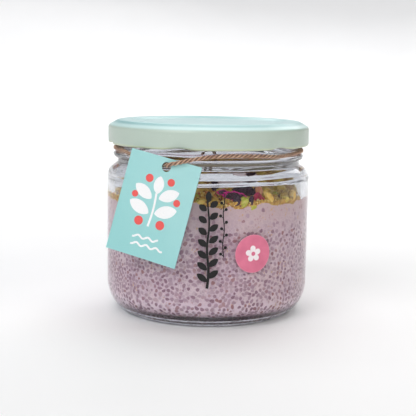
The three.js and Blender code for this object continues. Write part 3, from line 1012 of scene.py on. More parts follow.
@dataclass(frozen=True)
class FloorFinish:
    """Plain pale studio floor."""

    white: Colour = paint(246, 246, 247)
    cloud: Colour = paint(243, 243, 244)

    def material(self) -> Material:
        """Matt white with a barely seen cloud.

        Returns:
            The floor's white.
        """
        recipe = Recipe("studio_floor")
        cloud = recipe.noise(120)
        colour = recipe.layered(self.white, (self.cloud, cloud, 0.3, 0.7))
        return recipe.dressed(colour, recipe.spread(cloud, 0.75, 0.85))


@dataclass
class GlassJar:
    """The jar: foot, heel, body, shoulder, neck, bead and mouth in one turned piece of glass.

    A shoulder is its start, width, height and end angle; the neck its radius, lower and upper end
    and the lower end of its inside; the bead its radius, lower and upper end and corner; a band on
    the heel its lower and upper edge, how proud it stands and the share that its notches take.
    """

    sides: int = 288
    heel: Pair = (9.75, 13.0)
    foot_ring: float = 1.7
    foot_slope: Pair = (3.5, 1.3)
    push_up: float = 2.4
    floor: float = 5.4
    floor_crown: float = 1.1
    dome: Pair = (19.5, 0.7)
    inner_heel: Pair = (4.4, 4.6)
    shoulder: Four = (57.0, 5.5, 6.0, 75.0)
    inner_shoulder: Four = (56.4, 4.8, 5.4, 68.0)
    neck: Four = (38.95, 63.1, 65.0, 64.6)
    bead: Four = (40.55, 65.4, 67.7, 1.1)
    corner_angle: float = 80.0
    finish: Pair = (38.6, 68.0)
    mouth: float = 35.9
    height: float = 80.2
    lip: float = 1.2
    spacing: float = 0.55
    knurls: int = 150
    knurl_depth: float = 0.35
    wave_depth: float = 0.05
    # Heel bands of opaque pale frost, the stippled foot and the mould seam; their paleness is partly painted
    # highlight.
    bands: tuple[Four, ...] = ((0.25, 1.3, 0.2, 0.8), (2.5, 3.1, 0.08, 0.0))
    band_sunk: float = 0.1

    def outside(self) -> Array:
        """Profile of the outer face.

        Returns:
            Points from the middle of the base out and up to the lip.
        """
        foot_outer = WALL - self.heel[0]
        foot_inner = foot_outer - self.foot_ring
        start, wide, high, end = self.shoulder
        bead_radius, bead_low, bead_high, corner = self.bead
        centre, round_corner = bead_radius - corner, (corner, corner)
        return np.concatenate([
            [[0, self.push_up], [foot_inner - self.foot_slope[0], self.foot_slope[1]], [foot_inner, 0]],
            arc((foot_outer, self.heel[1]), self.heel, -90, 0, 24),
            arc((WALL - wide, start), (wide, high), 0, end, 20),
            [[self.neck[0], self.neck[1]], [self.neck[0], self.neck[2]]],
            arc((centre, bead_low + corner), round_corner, -self.corner_angle, 0, 6),
            arc((centre, bead_high - corner), round_corner, 0, self.corner_angle, 6),
            [self.finish],
        ])

    def inside(self) -> Array:
        """Profile of the inner face.

        Returns:
            Points from the lip down to the middle of the floor.
        """
        start, wide, high, end = self.inner_shoulder
        heel_centre = (BORE - self.inner_heel[0], self.floor + self.inner_heel[1])
        return np.concatenate([
            [[self.mouth, self.neck[3]]],
            arc((BORE - wide, start), (wide, high), end, 0, 20),
            arc(heel_centre, self.inner_heel, 0, -90, 16),
            [[self.dome[0], self.floor + self.dome[1]], [0, self.floor + self.floor_crown]],
        ])

    def rippled(self, points: Array) -> Array:
        """Cuts notches round the foot, and puts faint waves in neck and shoulder.

        The foot's outer edge is lifted by depth * max(0, sin(knurls * angle)), and from 54 mm up the
        radius gains the wave depth times slow waves of angle and height and rings 2.2 mm apart.

        Args:
            points: Points of the turned glass.

        Returns:
            The points moved.
        """
        x, y, height = points.T
        turn = np.arctan2(y, x)
        radius = radius_of(points)
        foot = np.exp(-((radius - (WALL - self.heel[0] + 1.2)) / 1.3) ** 2) * (height < 1.5)
        lift = self.knurl_depth * np.clip(np.sin(self.knurls * turn), 0, 1) * foot
        upper = smoothstep(height, 54, 58) * (height < 70.8)
        wave = np.sin(3 * turn + 0.9 * height) + 0.7 * np.sin(7 * turn - 1.7 * height)
        wave = wave + 1.2 * np.sin(2.9 * height + 0.8 * radius + 1.4 * np.sin(2 * turn + 0.6))
        return drawn(points, 1 + self.wave_depth * upper * wave / np.maximum(radius, 1), lift)

    def foot_band(self, low: float, high: float, proud: float, notch: float) -> Shell:
        """A thin frosted band on the heel, where the mould leaves its mark; its pale frost is partly a
        painted highlight.

        Its section follows the heel's ellipse between two heights and bulges by proud * sin(pi s),
        less notch * max(0, sin(knurls * angle)) of that.

        Args:
            low: Height of its lower edge.
            high: Height of its upper edge.
            proud: How far it stands out of the glass.
            notch: Share of that which the notches take away.

        Returns:
            The closed band.
        """
        wide, tall = self.heel
        share = np.linspace(0, 1, 7)
        swing = np.arccos(1 - (low + (high - low) * share) / tall)
        line = np.stack([WALL - wide + wide * np.sin(swing), tall * (1 - np.cos(swing))], axis=-1)
        away = unit(np.stack([tall * np.sin(swing), -wide * np.cos(swing)], axis=-1))
        turn = round_angles(6 * self.knurls)
        notched = 1 - notch * np.clip(np.sin(self.knurls * turn), 0, 1)
        bulge = proud * np.sin(np.pi * share)[:, None] * notched
        outer = line[:, None] + away[:, None] * bulge[..., None]
        inner = np.broadcast_to((line - self.band_sunk * away)[::-1, None], outer.shape)
        section = np.concatenate([outer, inner])
        return loft(round_axis(section[..., 0], section[..., 1], turn), looped=True)

    def build(self, bench: Bench) -> None:
        """Turns the jar from its eased profile, dresses it in glass and lays the bands on its heel.

        Args:
            bench: Where the pieces go.
        """
        lip_width = (self.finish[0] - self.mouth) / 2
        lip = arc((self.mouth + lip_width, self.height - self.lip), (lip_width, self.lip), 0, 180, 14)
        profile = eased(np.concatenate([self.outside(), lip, self.inside()]), self.spacing)
        shell = turned(profile, self.sides).reshaped(self.rippled)
        bench.put("glass_jar", shell, GlassFinish().material(), ("jar_glass",), 60)
        bands = Shell.together([self.foot_band(*band) for band in self.bands])
        bench.put("frosted_foot_and_painted_highlight", bands, FrostAndPaintedHighlightFinish().material(), crease=60)


@dataclass
class PressedLid:
    """The metal lid: a sunk panel in a raised rim, a sloping corner, a skirt, a curl and lugs.

    The panel is its radius and depth; the rim its inner radius, the outer radius of its flat, the
    start of the slope and the drop there; the corner the slope's end as radius and height, the top
    of the skirt outside and inside; the curl its radius and height.
    """

    sides: int = 360
    radius: float = 42.75
    bottom: float = 71.1
    top: float = 81.2
    sheet: float = 0.45
    panel: Pair = (31.0, 0.85)
    rim: Four = (33.0, 37.2, 38.8, 0.25)
    corner: Four = (42.2, 79.1, 78.1, 77.9)
    curl: Pair = (0.9, 2.2)
    lugs: int = 6
    first_lug: float = -16.0
    lug_half_width: float = 10.5
    lug_inward: float = 1.6
    lug_lift: float = 0.6
    lug_reach: float = 3.4
    gap: float = 0.3

    def profile(self) -> Array:
        """Closed section of the sheet.

        Returns:
            Points from the panel's inside, down the skirt, round the curl and up outside.
        """
        panel = self.top - self.panel[1]
        shoulder = self.top - self.rim[3]
        skirt = self.radius - self.sheet
        outside = [
            [0, panel],
            [self.panel[0], panel],
            [self.rim[0], self.top],
            [self.rim[1], self.top],
            [self.rim[2], shoulder],
            self.corner[:2],
            [self.radius, self.corner[2]],
            [self.radius, self.bottom + self.lug_reach],
        ]
        curl_radii = (self.curl[0], self.curl[0])
        curl = arc((self.radius - self.curl[0], self.bottom + self.curl[0]), curl_radii, 0, -180, 12)
        inside = [
            [skirt, self.bottom + self.curl[1]],
            [skirt, self.corner[3]],
            [self.rim[2] - self.gap, shoulder - self.sheet],
            [self.rim[0] + self.gap, self.top - self.sheet],
            [self.panel[0] + self.gap, panel - self.sheet],
            [0, panel - self.sheet],
        ]
        return eased(np.concatenate([outside, curl, inside])[::-1], 0.3)

    def pressed(self, points: Array) -> Array:
        """Presses the curl inwards and up at each lug, fading out over the reach above the bottom.

        Across a lug the press follows the square of the cosine of a quarter turn's share.

        Args:
            points: Points of the turned lid.

        Returns:
            The points moved.
        """
        radius = radius_of(points)
        pitch = 360 / self.lugs
        offset = np.mod(azimuth_of(points) - self.first_lug + pitch / 2, pitch) - pitch / 2
        share = np.cos(offset / self.lug_half_width * np.pi / 2) ** 2 * (np.abs(offset) < self.lug_half_width)
        share = share * np.clip((self.bottom + self.lug_reach - points[:, 2]) / self.lug_reach, 0, 1)
        share = share * (radius > self.radius - 3 * self.curl[0])
        return drawn(points, 1 - self.lug_inward * share / np.maximum(radius, 1), self.lug_lift * share)

    def build(self, bench: Bench) -> None:
        """Turns the lid, marks its inside as lined, presses its lugs and dresses it in enamel.

        Args:
            bench: Where the piece goes.
        """
        profile = self.profile()
        shell = turned(profile, self.sides)
        inside = (np.arange(len(profile)) < profile[:, 1].argmin()).astype(float)
        shell.values["lined"] = np.concatenate([np.repeat(inside[1:-1], self.sides), inside[[0, -1]]])
        material = EnamelFinish().material()
        bench.put("pressed_lid", shell.reshaped(self.pressed), material, ("lid",), 50)


@dataclass
class PuddingBody:
    """The pudding up to its uneven edge, grown just into the glass so that no air shows."""

    jar: GlassJar
    sides: int = 288
    grown: float = 0.05
    edge_knots: tuple[Pair, ...] = (
        (-170, 47.5), (-140, 47.9), (-115, 48.4), (-85, 49.2), (-56, 47.9), (-30, 49.4), (-9.6, 50.8),
        (-5.2, 50.9), (-0.8, 49.2), (3, 49.3), (8, 48.8), (12.3, 49.5), (16.8, 48.6), (19, 48.3),
        (22.6, 49.4), (25.5, 48.6), (28.8, 50.0), (32.6, 50.5), (36, 50.2), (38.5, 49.4), (41, 48.8),
        (44.5, 49.4), (49, 49.2), (56, 48.7), (60, 49.7), (65, 49.8), (74, 50.1), (95, 49.4),
        (120, 48.4), (150, 47.7),
    )
    top_rings: tuple[float, ...] = (39.8, 38, 35, 31, 26, 20, 13, 6, 0)

    def edge(self, azimuth: Array) -> Array:
        """Height of the pudding at the wall: straight between knots, plus two small waves.

        Args:
            azimuth: Degrees from the front.

        Returns:
            The heights.
        """
        knots = np.array(self.edge_knots)
        turn = np.radians(azimuth)
        base = np.interp(azimuth, knots[:, 0], knots[:, 1], period=360)
        return base + 0.16 * np.sin(37 * turn) + 0.1 * np.sin(61 * turn + 1)

    def top(self, points: Array) -> Array:
        """Height of the top: the level, plus the edge's offset times the cube of the radius' share."""
        share = (radius_of(points) / BORE) ** 3
        return LEVEL + (self.edge(azimuth_of(points)) - LEVEL) * share

    def skin_line(self) -> Array:
        """Profile from the middle of the floor out and up the wall, moved into the glass.

        Returns:
            Points as radius and height.
        """
        inside = eased(self.jar.inside()[1:], 0.4, 1)[::-1]
        line = inside[inside[:, 1] < LEVEL - 4]
        way = way_of(line)
        moved = line + np.stack([way[:, 1], -way[:, 0]], axis=-1) * self.grown
        moved[0, 0] = 0.0
        return moved

    def on_skin(self, azimuth: Array, along: Array, lift: Array = 0.0) -> Array:
        """Points on the skin, from the azimuth and the distance along its line, lifted outwards.

        Args:
            azimuth: Degrees from the front.
            along: Distance from the middle of the floor, along floor, heel and wall.
            lift: Distance from the skin, into the glass.

        Returns:
            Points in millimetres.
        """
        line = np.concatenate([self.skin_line(), [[BORE + self.grown, LEVEL + 8]]])
        lengths = lengths_along(line)
        way = way_of(line)
        radius = np.interp(along, lengths, line[:, 0]) + lift * np.interp(along, lengths, way[:, 1])
        height = np.interp(along, lengths, line[:, 1]) - lift * np.interp(along, lengths, way[:, 0])
        return on_jar(azimuth, radius, height)

    def uneven(self, points: Array) -> Array:
        """Lays the points from the level up on the uneven top."""
        return at_height(points, np.where(points[:, 2] >= LEVEL - 0.01, self.top(points), points[:, 2]))

    def build(self, bench: Bench) -> None:
        """Turns floor, heel and wall, then carries the wall to the edge and the top to its middle.

        Args:
            bench: Where the piece goes.
        """
        wall = [[BORE + self.grown, LEVEL + step] for step in (-4, -2, 0)]
        top = [[radius, LEVEL + 1] for radius in self.top_rings]
        shell = turned(np.concatenate([self.skin_line(), wall, top]), self.sides).reshaped(self.uneven)
        bench.put("pudding_body", shell, PuddingFinish().material(), ("pudding",), 70)


@dataclass
class ChiaSeeds:
    """Soaked seeds pressed against the glass: flat lenses spread over wall, heel and floor.

    Shares of them are left out everywhere, in patches and near the edge. The small ones are given
    by their share, and by a factor for their length and one for their width.
    """

    pudding: PuddingBody
    left_out: Point = (0.055, 0.06, 0.66)
    small: Point = (0.2, 0.68, 0.75)
    spacing: float = 2.0
    sides: int = 9
    long: Pair = (0.9, 1.36)
    slim: Pair = (0.7, 1.0)
    sunk: float = 0.03
    proud: float = 0.05
    rounds: int = 9
    marks: int = 400
    step: float = 0.45
    floor_way: float = 35.4
    heel_way: float = 7.6
    heel_top: float = 9.2
    below_edge: float = 1.6

    def lens(self) -> Shell:
        """One lens: rings of radius 1 at the rim, then 0.78 and 0.42, and a tip at back and top.

        Returns:
            The lens, with its rim stored as 1 and its top as 0.
        """
        circle = np.insert(directions(round_angles(self.sides)), 2, 1.0, axis=-1)
        rows = [(1.0, 0.0), (0.78, 0.55), (0.42, 0.9)]
        rings = np.stack([circle * (radius, radius, height) for radius, height in rows])
        shell = loft(rings, np.array([0, 0, -3.0]), np.array([0, 0, 1.0]))
        shell.values["rim"] = np.append(np.repeat([radius for radius, _ in rows], self.sides), [1.0, 0.0])
        return shell

    def spread(self, random: np.random.Generator, top: float) -> tuple[Array, Array]:
        """Draws places over the skin by area and lets near ones push each other apart.

        Args:
            random: The seeded source of draws.
            top: Distance along the skin at which the seeds end.

        Returns:
            Azimuth and distance along the skin of each seed.
        """
        marks = np.linspace(0, top, self.marks)
        area = np.cumsum(radius_of(self.pudding.on_skin(np.zeros(self.marks), marks)))
        count = int(2 * np.pi * area[-1] * (marks[1] - marks[0]) / (0.87 * self.spacing**2))
        along = np.interp(random.random(count), area / area[-1], marks)
        azimuth = random.random(count) * 360
        for _ in range(self.rounds):
            places = self.pudding.on_skin(azimuth, along)
            squares = (places**2).sum(axis=1)
            distance = np.sqrt(np.maximum(squares[:, None] + squares[None] - 2 * places @ places.T, 1e-6))
            push = np.clip(1 - distance / (1.15 * self.spacing), 0, 1) / distance
            np.fill_diagonal(push, 0)
            shift = places * push.sum(axis=1, keepdims=True) - push @ places
            turn = np.radians(azimuth)
            around = shift[:, 0] * np.cos(turn) + shift[:, 1] * np.sin(turn)
            upwards = (shift * (self.pudding.on_skin(azimuth, along + 0.1) - places)).sum(axis=1) / 0.1
            azimuth = azimuth + np.degrees(self.step * around / np.maximum(radius_of(places), 1.0))
            along = np.clip(along + self.step * upwards, 0.8, top)
        return azimuth, along

    def build(self, bench: Bench) -> None:
        """Lays the lenses on the skin, bent along it, with tone, warmth and veil for each.

        Args:
            bench: Where the piece goes.
        """
        random = np.random.default_rng(SEED)
        top = self.floor_way + self.heel_way + (LEVEL - self.heel_top) - self.below_edge
        azimuth, along = self.spread(random, top)
        places = self.pudding.on_skin(azimuth, along)
        thin = smoothstep(places[:, 2], 35, 44)
        patchy = 0.5 + 0.5 * np.sin(places[:, 0] * 0.31 + 1) * np.sin(places[:, 2] * 0.37)
        everywhere, in_patches, near_edge = self.left_out
        keep = random.random(len(places)) > everywhere + in_patches * patchy + near_edge * thin
        azimuth, along, places, thin = azimuth[keep], along[keep], places[keep], thin[keep]
        count = len(places)
        lens = self.lens()
        long = random.uniform(*self.long, count)
        slim = random.uniform(*self.slim, count)
        share, shorter, slimmer = self.small
        small = random.random(count) < share
        long = np.where(small, long * shorter, long)
        slim = np.where(small, slim * slimmer, slim)
        cos, sin = directions(random.random(count) * np.pi).T[..., None]
        x = lens.points[None, :, 0] * long[:, None]
        y = lens.points[None, :, 1] * slim[:, None]
        wobble = 1 + 0.1 * np.sin(3 * np.arctan2(y, x) + random.random(count)[:, None] * 6)
        across = (x * cos - y * sin) * wobble
        upwards = (x * sin + y * cos) * wobble
        radius = np.maximum(radius_of(places), 1.0)[:, None]
        lift = -self.sunk + (self.sunk + self.proud) * lens.points[None, :, 2]
        around = azimuth[:, None] + np.degrees(across / radius)
        shape = self.pudding.on_skin(around, along[:, None] + upwards, lift)
        shell = copies(lens, places, np.broadcast_to(np.eye(3), (count, 3, 3)), np.ones((count, 3)))
        shell.points = shape.reshape(-1, 3)
        veil = np.clip(random.normal(0.12, 0.2, count) + 0.35 * thin, 0, 0.8)
        tone = random.random(count)
        warmth = np.where(random.random(count) < 0.3, random.random(count), 0.1)
        stored = {"tone": tone, "warmth": warmth, "veil": veil}
        shell.values |= {name: np.repeat(value, len(lens.points)) for name, value in stored.items()}
        bench.put("chia_seeds", shell, SeedFinish().material(), crease=80)


def against_wall(points: Array, limit: Array) -> Array:
    """Draws points that stand past the limit radius back to it, as if pressed on the glass."""
    return drawn(points, np.minimum(1, limit / np.maximum(radius_of(points), 1e-6)))


@dataclass
class NutTopping:
    """Ground nuts on the pudding: a thin bed, crumbs at the wall and on top, and larger kernels.

    A clump is x, y, rise and reach. A kernel at the glass is azimuth, height, length, width, tilt
    and ripeness, and one on the layer is x, y, length, width, turn and ripeness. The gap at the
    glass is the azimuths between which it opens, and then shuts again.
    """

    pudding: PuddingBody
    front: float = 2.9
    back: float = 2.0
    fall: Pair = (-30.0, 14.0)
    gap: Four = (63, 67, 88, 94)
    gap_radii: Pair = (36.2, 38.0)
    clumps: tuple[Four, ...] = (
        (-4, 8, 0.5, 6), (30, 9, 1.3, 9), (-24, 3, 0.8, 8), (-12, -26, 0.4, 6), (30, -16, 0.5, 7),
        (9, -33, -0.9, 5.5), (15, -23, -0.9, 6),
    )
    end_knots: tuple[Pair, ...] = (
        (-40, 12), (-30, 17), (-18, 13), (-6, 12), (-1, 11), (1.6, 7), (5, -7), (11, -7), (15, 1),
        (19, 6), (24, 11), (31, 15), (40, 13),
    )
    bed_sides: int = 240
    wall_crumbs: int = 2300
    top_crumbs: int = 5600
    crumb_field: float = 38.8
    wall_kernels: tuple[Six, ...] = (
        (21.3, 51.2, 4.8, 4.1, 50, 0.0), (26.8, 49.0, 3.8, 2.4, 20, 0.05), (37.5, 51.9, 6.4, 3.0, -52, 0.95),
        (58, 52.3, 4.8, 2.6, 78, 1.0), (51, 50.9, 4.4, 2.8, 15, 0.6), (-3, 51.2, 4.4, 2.8, 20, 0.85),
        (98, 50.5, 5.0, 3.2, 15, 0.2), (-94, 50.7, 5.4, 3.2, 25, 0.9), (-52, 50.9, 5.2, 3.4, -20, 0.3),
        (-24, 51.0, 4.4, 3.0, 35, 0.15),
    )
    top_kernels: tuple[Six, ...] = (
        (-3, -14, 6.0, 4.2, 20, 0.85), (31, -5, 6.2, 4.4, -15, 0.7), (25, -13, 5.5, 3.6, 35, 0.9),
        (24, 2, 5.2, 3.6, -40, 0.6), (-14, -10, 5.6, 3.8, 10, 0.2), (28, -16, 3.2, 2.2, 50, 0.0),
        (33, 6, 4.6, 3.2, 70, 0.65), (-7, 3, 4.8, 3.4, -30, 0.95), (-1.5, 8, 3.8, 2.8, 15, 1.0),
        (-8, -22, 4.6, 3.2, 80, 0.75), (5.5, -18, 3.8, 2.6, -25, 0.5), (-26, -8, 5.0, 3.4, 40, 0.8),
        (-19, 8, 4.6, 3.4, -10, 0.1), (29, 11, 4.0, 2.8, 25, 0.75), (-32, 5, 4.4, 3.0, 60, 0.6),
        (35.2, -9, 4.2, 2.6, 75, 0.9), (-5, -30, 4.2, 3.0, -15, 0.1), (-22, -20, 4.8, 3.2, 70, 0.9),
    )
    kernel_depth: float = 0.42

    def cover(self, points: Array) -> Array:
        """Share of the layer at a place: 1 in front of its uneven end line, 0 behind it.

        The line is straight between knots, plus two waves of x. Right of the front the layer also
        ends a little short of the glass.

        Args:
            points: Places in plan.

        Returns:
            The share at each place.
        """
        x, y = points[..., 0], points[..., 1]
        knots = np.array(self.end_knots)
        end = np.interp(x, knots[:, 0], knots[:, 1]) + 0.9 * np.sin(1.1 * x) + 0.5 * np.sin(2.7 * x + 1)
        azimuth = azimuth_of(points)
        opens, full, shuts, shut = self.gap
        apart = smoothstep(azimuth, opens, full) * (1 - smoothstep(azimuth, shuts, shut))
        wall = apart * smoothstep(radius_of(points), *self.gap_radii)
        return (1 - smoothstep(y, end - 1.3, end + 1.3)) * (1 - wall)

    def heap(self, points: Array) -> Array:
        """Top of the layer: its thickness falls towards the back, with rises exp(-(way / reach)^2).

        Args:
            points: Places in plan.

        Returns:
            Height of the layer's top, which meets the pudding where nothing covers it.
        """
        x, y = points[..., 0], points[..., 1]
        top = LEVEL + self.front + (self.back - self.front) * smoothstep(y, *self.fall)
        for middle_x, middle_y, rise, reach in self.clumps:
            top = top + rise * np.exp(-((x - middle_x) ** 2 + (y - middle_y) ** 2) / reach**2)
        top = top + 0.25 * np.sin(0.5 * x + 0.3) * np.sin(0.43 * y)
        top = top + 0.16 * np.sin(1.3 * x) * np.sin(1.1 * y + 1)
        surface = self.pudding.top(points)
        return surface + np.maximum(top - surface, 0.7) * self.cover(points)

    def laid(self, points: Array) -> Array:
        """Lays the bed's underside into the pudding and its top under the crumbs.

        Args:
            points: Points of the flat bed, its underside at 0 and its top at 1.

        Returns:
            The points at their heights, the top sunk into the pudding where it is bare.
        """
        x, y, side = points.T
        surface = self.pudding.top(points)
        rough = 0.25 * np.sin(1.7 * x + 0.6 * y) * np.sin(1.3 * y)
        rise = self.heap(points) - surface - 0.35 + rough
        above = surface - 0.3 + np.maximum(rise + 0.3, 0) * smoothstep(self.cover(points), 0.1, 0.6)
        return at_height(points, np.where(side > 0.5, above, surface - 0.9))

    def bed(self) -> Shell:
        """The bed, its wall just into the glass.

        Returns:
            The closed bed, with its bareness.
        """
        outwards = np.append(np.linspace(0, 39, 27), BORE + 0.02)
        sides = np.repeat([0.0, 1.0], len(outwards))
        profile = np.stack([np.concatenate([outwards, outwards[::-1]]), sides], axis=-1)
        shell = turned(profile, self.bed_sides).reshaped(self.laid)
        shell.values["bare"] = 1 - smoothstep(self.cover(shell.points), 0.2, 0.9)
        return shell

    def wall_places(self, random: np.random.Generator) -> tuple[Array, Array]:
        """Crumbs at the glass, between the pudding's edge and the layer's top.

        Args:
            random: The seeded source of draws.

        Returns:
            Their places and sizes.
        """
        azimuth = random.uniform(-180, 180, self.wall_crumbs)
        size = 0.34 + 0.5 * random.random(self.wall_crumbs) ** 1.6
        places = on_jar(azimuth, BORE - size * random.uniform(0.35, 1.1, self.wall_crumbs), 0.0)
        low = self.pudding.edge(azimuth) - 0.1
        high = self.heap(on_jar(azimuth, BORE, 0.0)) + 0.15
        places[:, 2] = low + (high - low) * random.random(self.wall_crumbs)
        keep = self.cover(places) > 0.5
        return places[keep], size[keep]

    def top_places(self, random: np.random.Generator) -> tuple[Array, Array]:
        """Crumbs on the layer, and a few strays on the bare pudding behind it.

        Args:
            random: The seeded source of draws.

        Returns:
            Their places and sizes.
        """
        spread = self.crumb_field * np.sqrt(random.random(self.top_crumbs))
        places = on_jar(random.uniform(-180, 180, self.top_crumbs), spread, 0.0)
        stray = random.random(self.top_crumbs) > self.cover(places)
        keep = ~stray | (random.random(self.top_crumbs) < 0.035)
        size = np.where(stray, 0.3, 0.4 + 0.75 * random.random(self.top_crumbs) ** 2)
        places[:, 2] = self.heap(places) + size * random.uniform(-0.5, 0.45, self.top_crumbs)
        return places[keep], size[keep]

    def crumbs(self, random: np.random.Generator) -> Shell:
        """Crumbs: dented balls of 32 faces, at the glass and on the layer, turned at random.

        A turn is the orthonormal factor of a matrix of normal draws, made right-handed.

        Args:
            random: The seeded source of draws.

        Returns:
            All crumbs, with the tone and dulling of each.
        """
        (wall, wall_size), (top, top_size) = self.wall_places(random), self.top_places(random)
        places = np.concatenate([wall, top])
        count = len(places)
        template = ball(1)
        per = len(template.points)
        dents = random.uniform(0.72, 1.22, (count, per))
        axes = np.append(wall_size, top_size)[:, None] * random.uniform(0.7, 1.25, (count, 3))
        frames, _ = np.linalg.qr(random.normal(size=(count, 3, 3)))
        frames[:, :, 0] *= np.sign(np.linalg.det(frames))[:, None]
        shell = copies(template, places, frames, axes, dents)
        shell.points = against_wall(shell.points, np.repeat(BORE + random.uniform(0.05, 0.11, count), per))
        tone = np.clip(random.normal(0.4, 0.22, count), 0, 0.76)
        odd = random.random(count)
        tone = np.where(odd < 0.06, 0.82, np.where(odd > 0.965, 0.93, tone))
        dull = 0.55 * smoothstep(places[:, 0], 17, 24)
        shell.values.update(tone=np.repeat(tone, per), dull=np.repeat(dull, per))
        return shell

    def wall_seats(self) -> tuple[Array, Array]:
        """Seats of the kernels at the glass.

        Returns:
            Their middles, and their frames: length along the wall, width up it, depth outwards.
        """
        azimuth, height, _, wide, tilt, _ = np.array(self.wall_kernels).T
        turn, lean = np.radians(azimuth), np.radians(tilt)[:, None]
        level = np.zeros(len(turn))
        tangent = np.stack([np.cos(turn), np.sin(turn), level], axis=-1)
        outwards = np.stack([np.sin(turn), -np.cos(turn), level], axis=-1)
        along = tangent * np.cos(lean) + np.array([0, 0, 1.0]) * np.sin(lean)
        frames = np.stack([along, np.cross(outwards, along), outwards], axis=-1)
        return on_jar(azimuth, BORE + 0.1 - wide * self.kernel_depth * 0.82, height), frames

    def top_seats(self) -> tuple[Array, Array]:
        """Seats of the kernels on the layer, each tipped a little along its length.

        Returns:
            Their middles and frames.
        """
        x, y, _, wide, turn, _ = np.array(self.top_kernels).T
        c, s, flat = np.cos(np.radians(turn)), np.sin(np.radians(turn)), np.zeros(len(x))
        tip = 0.2 * np.sin(np.arange(len(x)) * 2.4)
        along = np.stack([c * np.cos(tip), s * np.cos(tip), np.sin(tip)], axis=-1)
        across = np.stack([-s, c, flat], axis=-1)
        places = np.stack([x, y, flat], axis=-1)
        places[:, 2] = self.heap(places) + wide * self.kernel_depth / 4
        return places, np.stack([along, across, np.cross(along, across)], axis=-1)

    def kernels(self, random: np.random.Generator) -> Shell:
        """Kernels: balls stretched to length, width and depth, pointed at one end, with shallow ridges.

        Args:
            random: The seeded source of draws.

        Returns:
            All kernels, with ripeness and their own stored coordinates.
        """
        _, _, long, wide, _, ripe = np.concatenate([self.wall_kernels, self.top_kernels]).T
        places, frames = (np.concatenate(pair) for pair in zip(self.wall_seats(), self.top_seats()))
        sizes = np.stack([long / 2, wide / 2, wide * self.kernel_depth], axis=-1)
        count = len(places)
        template = ball(4)
        x, y, z = template.points.T
        phases = random.random((count, 3)) * 6
        ridges = 0.05 * np.sin(5 * x + phases[:, :1]) + 0.05 * np.sin(6 * y + phases[:, 1:2])
        fine = 0.03 * np.sin(11 * z + 7 * x + phases[:, 2:])
        shell = copies(template, places, frames, sizes, (1 - 0.22 * x) * (1 + ridges + fine))
        per = len(template.points)
        shell.points = against_wall(shell.points, np.repeat(BORE + 0.12 + 0.005 * np.arange(count), per))
        grain = (template.points[None] * sizes[:, None] + np.arange(count)[:, None, None] * 9).reshape(-1, 3)
        shell.values.update(ripe=np.repeat(ripe, per), grain=grain)
        return shell

    def build(self, bench: Bench) -> None:
        """Puts bed, crumbs and kernels; the bed stands for the CAD heap.

        Args:
            bench: Where the pieces go.
        """
        random = np.random.default_rng(SEED + 1)
        bench.put("nut_bed", self.bed(), BedFinish().material(), ("topping",), 60)
        bench.put("nut_crumbs", self.crumbs(random), CrumbFinish().material(), crease=60)
        bench.put("nut_kernels", self.kernels(random), KernelFinish().material(), crease=80)


class PetalTone(Enum):
    """The petals' four colourings."""

    NIGHT = PetalFinish("night_petal", paint(42, 24, 40), paint(72, 40, 64), paint(112, 40, 88), 0.93)
    EDGED = PetalFinish("edged_petal", paint(48, 24, 42), paint(84, 34, 62), paint(236, 48, 154), 0.68)
    CRIMSON = PetalFinish("crimson_petal", paint(138, 12, 44), paint(184, 30, 78), paint(206, 54, 110), 0.92)
    SALMON = PetalFinish("salmon_petal", paint(246, 146, 120), paint(252, 196, 156), paint(214, 104, 92), 0.9)


@dataclass(frozen=True)
class PetalShape:
    """Place, size, lean, way it faces, turn and ruffle of one petal, as in the CAD source."""

    x: float
    y: float
    height: float
    wide: float
    high: float
    lean: float
    face: float
    turn: float
    ruffle: float
    tone: PetalTone = PetalTone.NIGHT
    taper: float = 0.0


